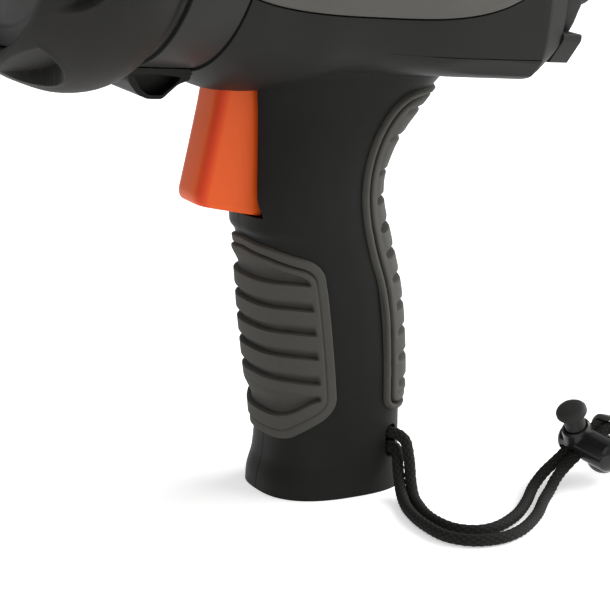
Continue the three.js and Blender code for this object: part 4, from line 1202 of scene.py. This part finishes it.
def trigger_hub():
    """The part inside the housing: a round hub on the pin, a neck down to the blade and an arm to the
    switch."""
    x, z = TRIGGER["pivot_x"], TRIGGER["pivot_z"]
    hub = put_object("trigger_hub", rod_mesh(3.6, (x, -6, z), (x, 6, z), 64))
    merged(hub, box_mesh(-28.4, -21.7, -6, 6, 107.8, 112), "UNION")
    merged(hub, box_mesh(-24, -11, -4, 4, 111.4, 114.2), "UNION")
    merged(hub, rod_mesh(1.55, (x, -9, z), (x, 9, z), 48), "DIFFERENCE")
    return bevelled(hub, 0.25, 2)


# ---------------------------------------------------------------- lanyard
def unit(v):
    """The vector at length one."""
    return v / np.linalg.norm(v)


LOCK_Y = unit(np.array([-0.2225, 0.9635, 0.1483]))
LOCK_Z = unit(np.array([-0.423, -0.236, 0.875]))
LOCK_X = np.cross(LOCK_Y, LOCK_Z)
LOCK_ORIGIN = np.array([LOCK["x"], LOCK["y"], LOCK["z"]])
SLEEVE_X = unit(np.array([0.93, 0.2, -0.3]))
SLEEVE_Y = unit(np.array([-0.2, 0.93, 0]))
SLEEVE_Z = np.cross(SLEEVE_X, SLEEVE_Y)


def in_lock(points):
    """Points of the cord lock's own frame in the row frame."""
    points = np.asarray(points, float)
    return LOCK_ORIGIN + points @ np.array([LOCK_X, LOCK_Y, LOCK_Z])


SLEEVE_ORIGIN = in_lock((7.6, 0, LOCK["strand_z"]))


def in_sleeve(points):
    """Points of the sleeve's own frame in the row frame."""
    points = np.asarray(points, float)
    return SLEEVE_ORIGIN + points @ np.array([SLEEVE_X, SLEEVE_Y, SLEEVE_Z])


def cord_route():
    """The cord's route, in millimetres: out of the slot, along the ground, through the lock, round the
    wrist loop and back."""
    out = np.array([math.cos(LANYARD["turn"]), math.sin(LANYARD["turn"]), 0]) * -3
    start = np.array([LANYARD["x"], LANYARD["y"], LANYARD["high"]]) + out
    end = np.array([LANYARD["x"], LANYARD["y"], LANYARD["low"]]) + out
    s, z = STRAND, LOCK["strand_z"]
    going = [start, (12.9, -15.8, 14.6), (13.9, -18.6, 13.4), (13.6, -21.4, 9.2), (12.4, -24.6, 4.4),
             (10.9, -28.8, 1.8), (8.9, -35, 1.6), (7.2, -42, 1.6), (7, -49.4, 1.6), (8.6, -55, 1.6),
             (12.4, -58.2, 1.6), (17.4, -58.2, 1.6), (26.3, -53.2, 1.6), (34.7, -45, 1.6), (42.4, -35.9, 1.7),
             (47.6, -32.2, 3.4), in_lock((-7.5, s, -1.7)), in_lock((0, s, z)), in_lock((4.4, s, z)),
             in_sleeve((1, s, 0)), in_sleeve((6.4, s, 0)), (79, -26.4, 8.6), (86, -24.6, 4.2),
             (94, -22.4, 1.8),
             (105, -20, 1.6), (117, -19.6, 1.6), (127.5, -23.4, 1.6), (133.4, -31.6, 1.6), (133, -42, 1.6),
             (126, -49.6, 1.6), (115, -51.8, 1.6), (104, -48.6, 1.6), (94.6, -41, 1.8), (87, -34.8, 4.2),
             (79.8, -31.4, 8.4), in_sleeve((6.4, -s, 0)), in_sleeve((1, -s, 0)), in_lock((4.4, -s, z)),
             in_lock((0, -s, z)), in_lock((-7.5, -s, -1.7)), (48.8, -36.8, 3.4), (44.6, -40.4, 1.8),
             (39.4, -45.9, 1.6),
             (31.2, -55.4, 1.6), (21.8, -63, 1.6), (14.6, -65.4, 1.6), (8, -63.8, 1.6), (3.9, -58.6, 1.6),
             (3, -49, 1.6), (4.4, -38.8, 1.6), (6.9, -31, 1.6), (9, -25.4, 2.8), (10.8, -20.8, 6.2),
             (12.2, -17.6, 9.4), (12.8, -15.7, 10.6), end]
    return np.array(going, float)


def catmull(points, each):
    """A centripetal Catmull-Rom curve: each span is a cubic whose end slopes come from root-of-distance
    knots."""
    p = np.concatenate([[2 * points[0] - points[1]], points, [2 * points[-1] - points[-2]]])
    knot = np.sqrt(np.linalg.norm(np.diff(p, axis=0), axis=1))[:, None]
    a, b, c = knot[:-2], knot[1:-1], knot[2:]
    p0, p1, p2, p3 = p[:-3], p[1:-2], p[2:-1], p[3:]
    slope_a = ((p1 - p0) / a - (p2 - p0) / (a + b) + (p2 - p1) / b) * b
    slope_b = ((p2 - p1) / b - (p3 - p1) / (b + c) + (p3 - p2) / c) * b
    t = np.linspace(0, 1, each, endpoint=False)[None, :, None]
    cubic = (p1[:, None] + slope_a[:, None] * t
             + (-3 * p1 + 3 * p2 - 2 * slope_a - slope_b)[:, None] * t ** 2
             + (2 * p1 - 2 * p2 + slope_a + slope_b)[:, None] * t ** 3)
    return np.concatenate([cubic.reshape(-1, 3), points[-1:]])


def braided_cord():
    """The cord: rings along the route, lifted by a braid, the product of two cosines of opposite helices."""
    line = spaced(catmull(cord_route(), 24), 1500)
    step = np.gradient(line, axis=0)
    along = step / np.linalg.norm(step, axis=1, keepdims=True)
    side = np.cross(along, (0, 0, 1.0))
    side /= np.linalg.norm(side, axis=1, keepdims=True)
    up = np.cross(side, along)
    far = np.concatenate([[0], np.cumsum(np.linalg.norm(np.diff(line, axis=0), axis=1))])
    angle = turns(28)[None, :]
    phase = (2 * math.pi * far / (sizes().braid_pitch / MM))[:, None]
    crown = np.abs(np.cos(3.5 * angle + phase / 2) * np.cos(3.5 * angle - phase / 2))
    crown = np.clip(crown * 1.15, 0, 1) ** 0.7
    radius = sizes().cord_diameter / MM / 2 - 0.16 + 0.2 * crown
    ring = np.cos(angle)[..., None] * side[:, None] + np.sin(angle)[..., None] * up[:, None]
    grid = line[:, None] + radius[..., None] * ring
    mesh = tube_mesh("lanyard", grid)
    # The crown value also sets the painted highlight and painted shade of the braid's colour.
    mark_points(mesh, "crown", np.concatenate([crown.ravel(), [0, 0]]))
    return put_object("lanyard", mesh, 80), line, float(far[-1])


def strand_way(reach, place):
    """The oblong hole that both strands run through."""
    flat = round_rect(2 * STRAND + 4.4, 4.2, 2)
    return prism("way", flat, -reach, reach, lambda points, level: place(facing(points, level)))


def in_lock_rod(radius, low, high):
    """A round rod about the lock's press axis."""
    return rod_mesh(radius, *in_lock([(0, 0, low), (0, 0, high)]), 48)


def lock_body():
    """The cord lock: a round-ended barrel along its cross axis, a neck for the button and a small side
    lobe."""
    r = LOCK["radius"]
    turn = np.linspace(0.02, math.pi / 2, 14)
    station = np.concatenate([-LOCK["front"] - r * 0.6 * np.cos(turn),
                              LOCK["back"] + r * 0.6 * np.cos(turn[::-1])])
    radius = np.concatenate([r * np.sin(turn), r * np.sin(turn[::-1])])
    side, lift = spun(radius, 72)
    body = put_object("lock_body", tube_mesh("lock_body", in_lock(grid_of(side, station[:, None], lift))))
    height, neck = np.array([(0.6, 4.1), (4.2, 3.95), (5.0, 3.8), (5.4, 3.3)]).T
    merged(body, tube_mesh("neck", in_lock(grid_of(*spun(neck, 72), height[:, None]))), "UNION")
    lat = np.linspace(-math.pi / 2 + 0.02, math.pi / 2 - 0.02, 26)[:, None]
    angle = turns(72)[None]
    lobe = grid_of(1.2 + 3.6 * np.cos(lat) * np.cos(angle), -5.4 + 4.5 * np.cos(lat) * np.sin(angle),
                   -5 + 3.6 * np.sin(lat))
    merged(body, tube_mesh("lobe", in_lock(lobe)), "UNION")
    lift = np.array([0, 0, LOCK["strand_z"]])
    merged(body, strand_way(12, lambda points: in_lock(points + lift)), "DIFFERENCE")
    merged(body, in_lock_rod(2.5, LOCK["strand_z"], 8), "DIFFERENCE")
    merged(body, in_lock_rod(3.1, 1.5, 8), "DIFFERENCE")
    return smoothed(body, 35)


def lock_button():
    """The button: a turned stem and a domed, grooved head about the lock's press axis."""
    outline = [(2.9, 0.01), (2.9, 2.2), (5.7, 2.2), (5.7, 2.8), (9.8, 2.8), (9.8, 3.5), (10.0, 3.9),
               (10.35, 4.1), (10.6, 3.95),
               (10.75, 3.95), (11.0, 4.1), (11.35, 3.9), (11.8, 3.45), (12.1, 2.7), (12.28, 1.6),
               (12.32, 0.01)]
    station, radius = np.array(outline).T
    return put_object("lock_button", tube_mesh("lock_button",
                                               in_lock(grid_of(*spun(radius, 72), station[:, None]))), 40)


def sleeve():
    """The sleeve round both strands: an oblong tube whose ends are rounded over."""
    turn = np.linspace(0, math.pi / 2, 6)
    levels = [(1.2 + 0.6 * (1 - math.sin(t)), -0.6 * (1 - math.cos(t))) for t in turn[::-1]]
    levels += [(6.6 - 0.6 * (1 - math.sin(t)), -0.6 * (1 - math.cos(t))) for t in turn]
    rings = []
    for level, grow in levels:
        flat = round_rect(10 + 2 * grow, 6.4 + 2 * grow, 2.9 + grow, steps=10)
        rings.append(in_sleeve(facing(flat, level)))
    thing = put_object("sleeve", tube_mesh("sleeve", np.stack(rings)))
    merged(thing, strand_way(12, in_sleeve), "DIFFERENCE")
    return smoothed(thing, 35)


# ---------------------------------------------------------------- foot and fasteners
def battery_door():
    """The battery door: a plate with a round hinge edge, a recess for the latch and five grip lines."""
    outline = [(DOOR["front"], 0), (DOOR["rear"], 0), (DOOR["rear"], DOOR["thick"]),
               (DOOR["front"], DOOR["thick"])]
    door = put_object("foot_door", prism("door", outline, -DOOR["half"], DOOR["half"], upright))
    x0, h = DOOR["front"], DOOR["hinge"]
    merged(door, rod_mesh(h, (x0, -DOOR["half"], h), (x0, DOOR["half"], h), 64), "UNION")
    merged(door, rod_mesh(0.85, (x0, -30, h), (x0, 30, h), 32), "DIFFERENCE")
    merged(door, box_mesh(5.4, DOOR["rear"] + 1, -4.3, 4.3, -1, 1.8), "DIFFERENCE")
    for i in range(5):
        y = (i - 2) * 3.4
        merged(door, box_mesh(-8.5, 2.5, y - 0.45, y + 0.45, -0.5, 0.35), "DIFFERENCE")
    return bevelled(door, 0.18, 2)


def door_latch():
    """The sliding latch: a small plate with three grip lines."""
    latch = put_object("foot_latch", box_mesh(8.6, DOOR["rear"], -4, 4, 0.1, 1.5))
    for i in range(3):
        merged(latch, box_mesh(9.8 + i * 1.8, 10.6 + i * 1.8, -3, 3, -1, 0.6), "DIFFERENCE")
    return bevelled(latch, 0.12, 2)


def case_screw(index):
    """A case screw: a shank and a domed head with a six-sided socket."""
    x, z = SCREWS[index]
    seat = screw_skin(x, z) - 9
    outline = [(-8, 0.01), (-8, 1.2), (-7.6, 1.5), (seat + 0.3, 1.5), (seat + 0.3, 2.9), (seat + 1.9, 2.9),
               (seat + 2.3, 2.6),
               (seat + 2.5, 1.9), (seat + 2.55, 0.01)]
    station, radius = np.array(outline).T
    side, lift = spun(radius, 48)
    screw = put_object(f"screw_{index + 1}", tube_mesh("screw",
                                                       grid_of(x + side, station[:, None], z + lift)), 40)
    merged(screw, rod_mesh(1.4, (x, seat + 1.2, z), (x, seat + 4, z), 6), "DIFFERENCE")
    return smoothed(screw, 35)


# ---------------------------------------------------------------- operators
class RADAR_OT_stage(bpy.types.Operator):
    """Pale floor, soft studio lights and the camera."""
    bl_idname = "radar.stage"
    bl_label = "Stage"

    def execute(self, context):
        corners = [(x * FLOOR_HALF, y * FLOOR_HALF, FLOOR_LEVEL) for x,
                   y in ((-1, -1), (1, -1), (1, 1), (-1, 1))]
        floor = put_object("floor", put_mesh("floor", corners, [(0, 1, 2, 3)]))
        floor.data.materials.append(finish("floor"))
        scene = context.scene
        scene.view_settings.view_transform = "Standard"
        scene.world = bpy.data.worlds.new("studio")
        scene.world.use_nodes = True
        background = scene.world.node_tree.nodes["Background"]
        background.inputs["Color"].default_value = (1, 1, 1, 1)
        background.inputs["Strength"].default_value = SKY
        for lamp in LAMPS:
            self.lamp(*lamp)
        camera = linked("camera", bpy.data.cameras.new("camera"))
        camera.data.lens = sizes().lens
        camera.data.sensor_width = CAMERA["sensor"]
        camera.data.clip_start, camera.data.clip_end = CAMERA["near"], CAMERA["far"]
        camera.location = CAMERA["place"]
        camera.rotation_euler = (math.radians(CAMERA["tilt"]), 0, math.radians(CAMERA["turn"]))
        scene.camera = camera
        return {"FINISHED"}

    def lamp(self, name, place, power, size):
        """A square lamp, aimed at the middle of the gun."""
        light = bpy.data.lights.new(name, "AREA")
        light.energy, light.size = power, size
        lamp = linked(name, light)
        direction = np.array(place) - np.array(LAMP_AIM)
        lamp.location = place
        lamp.rotation_euler = (math.atan2(math.hypot(*direction[:2]), direction[2]), 0,
                               math.atan2(direction[1], direction[0]) + math.pi / 2)


class RADAR_OT_lanyard(bpy.types.Operator):
    """Braided wrist cord, its lock with a sprung button, and the sleeve."""
    bl_idname = "radar.lanyard"
    bl_label = "Lanyard"

    def execute(self, context):
        cord, line, length = braided_cord()
        piece(cord, "braided_cord", HOUSING, "lanyard_cord")
        body = piece(lock_body(), "gloss_black", HOUSING, "cord_lock_body")
        button = piece(lock_button(), "charcoal_plastic", "lock_button", "cord_lock_button")
        tube = piece(sleeve(), "gray_plastic", HOUSING, "cord_sleeve")
        dress("steel", "cord_lock_spring", "lanyard_pin")
        path = spaced(line, 900) * MM
        return {"FINISHED"}


class RADAR_OT_housing(bpy.types.Operator):
    """Left and right halves of the moulded housing."""
    bl_idname = "radar.housing"
    bl_label = "Housing"

    def execute(self, context):
        shell = shell_solid()
        for side, name in ((-1, "left"), (1, "right")):
            half = linked(f"housing_{name}", shell.data.copy())
            low, high = (-80, -HALF_GAP) if side < 0 else (HALF_GAP, 80)
            merged(half, box_mesh(-120, 120, low, high, -5, 240), "INTERSECT")
            piece(smoothed(half, 28), "black_plastic", HOUSING, f"{name}_shell")
        bpy.data.objects.remove(shell)
        return {"FINISHED"}


class RADAR_OT_panels(bpy.types.Operator):
    """Smooth grey side panels set into the housing."""
    bl_idname = "radar.panels"
    bl_label = "Side panels"

    def execute(self, context):
        for side, name in ((-1, "left"), (1, "right")):
            mesh = plate_on_body(f"panel_{name}", side, -0.12, -SIDE["depth"] + 0.3, SIDE["rise"])
            piece(put_object(f"panel_{name}", mesh, 50), "gray_plastic", HOUSING, f"side_panel_{name}")
        return {"FINISHED"}


class RADAR_OT_nose(bpy.types.Operator):
    """Rubber ring, barrel, seal, antenna cover and the clip under the nose."""
    bl_idname = "radar.nose"
    bl_label = "Nose"

    def execute(self, context):
        piece(bumper(), "bumper_rubber", HOUSING, "nose_bumper")
        piece(nose_tube(), "charcoal_plastic", HOUSING, "nose_barrel")
        piece(seal(), "black_plastic", HOUSING, "nose_seal")
        piece(radome(), "charcoal_plastic", HOUSING, "radome")
        piece(clip(), "black_plastic", HOUSING, "nose_clip")
        return {"FINISHED"}


class RADAR_OT_display(bpy.types.Operator):
    """Rear bezel, display frame, window, screen and keys."""
    bl_idname = "radar.display"
    bl_label = "Display"

    def execute(self, context):
        piece(bezel(), "charcoal_plastic", HOUSING, "rear_bezel")
        piece(display_frame(), "black_plastic", HOUSING, "display_frame")
        piece(pane(), "window", HOUSING, "display_window")
        for i, key in enumerate(("power", "mode", "units", "light")):
            piece(key_cap(f"cap_{key}", i), "grip_rubber", f"key_{key}", f"key_{key}")
        dress("lcd", "lcd_panel")
        dress("circuit_board", "display_board", "main_board")
        return {"FINISHED"}


class RADAR_OT_trigger(bpy.types.Operator):
    """Trigger blade and hub, with its pin, bracket, switch and spring."""
    bl_idname = "radar.trigger"
    bl_label = "Trigger"

    def execute(self, context):
        piece(trigger_blade(), "trigger_plastic", "trigger", "trigger")
        piece(trigger_hub(), "trigger_plastic", "trigger", "trigger")
        dress("steel", "trigger_pin", "trigger_spring")
        dress("aluminium", "trigger_bracket")
        dress("black_plastic", "trigger_switch")
        dress("trigger_plastic", "switch_plunger")
        return {"FINISHED"}


class RADAR_OT_pads(bpy.types.Operator):
    """Ribbed rubber pads on the front and back of the grip."""
    bl_idname = "radar.pads"
    bl_label = "Grip pads"

    def execute(self, context):
        piece(front_pad(), "grip_rubber", HOUSING, "grip_pad_front")
        piece(rear_pad(), "grip_rubber", HOUSING, "grip_pad_rear")
        return {"FINISHED"}


class RADAR_OT_foot(bpy.types.Operator):
    """Battery door with its hinge and latch, and the case screws."""
    bl_idname = "radar.foot"
    bl_label = "Foot and screws"

    def execute(self, context):
        piece(battery_door(), "black_plastic", "battery_door", "battery_door")
        piece(door_latch(), "gray_plastic", "door_latch", "door_latch")
        for i in range(len(SCREWS)):
            piece(case_screw(i), "steel", HOUSING, f"case_screw_{i + 1}")
        dress("steel", "door_hinge_pin", "battery_contact_door", "battery_spring", "battery_contact_top")
        return {"FINISHED"}


class RADAR_OT_inside(bpy.types.Operator):
    """Finishes of the pieces inside: antenna, radar module, buzzer and cells."""
    bl_idname = "radar.inside"
    bl_label = "Inside pieces"

    def execute(self, context):
        dress("metallised_plastic", "antenna_horn")
        dress("aluminium", "antenna_plate", "radar_module")
        dress("steel", "antenna_screw_1", "antenna_screw_2", "antenna_screw_3")
        dress("black_plastic", "buzzer")
        dress("cell_wrap", "battery_lower", "battery_upper")
        return {"FINISHED"}


OPERATORS = (RADAR_OT_stage, RADAR_OT_lanyard, RADAR_OT_housing, RADAR_OT_panels, RADAR_OT_nose,
             RADAR_OT_display, RADAR_OT_trigger, RADAR_OT_pads, RADAR_OT_foot, RADAR_OT_inside)


class RADAR_PT_panel(bpy.types.Panel):
    """Lists the sizes, the colours and one button for each group of pieces."""
    bl_idname = "RADAR_PT_panel"
    bl_label = "Radar Gun"
    bl_space_type = "VIEW_3D"
    bl_region_type = "UI"
    bl_category = "Radar Gun"

    def draw(self, context):
        for group in (context.scene.radar_sizes, context.scene.radar_colours):
            box = self.layout.box()
            for key in group.__annotations__:
                box.prop(group, key)
        for operator in OPERATORS:
            self.layout.operator(operator.bl_idname)


CLASSES = (RadarSizes, RadarColours, *OPERATORS, RADAR_PT_panel)


def register():
    """Adds the classes and the two groups of settings."""
    for cls in CLASSES:
        bpy.utils.register_class(cls)
    bpy.types.Scene.radar_sizes = PointerProperty(type=RadarSizes)
    bpy.types.Scene.radar_colours = PointerProperty(type=RadarColours)


def unregister():
    """Takes away what register added."""
    del bpy.types.Scene.radar_sizes, bpy.types.Scene.radar_colours
    for cls in reversed(CLASSES):
        bpy.utils.unregister_class(cls)


def main():
    """Builds every piece."""
    register()
    for operator in OPERATORS:
        group, name = operator.bl_idname.split(".")
        getattr(getattr(bpy.ops, group), name)()


if __name__ == "__main__":
    main()
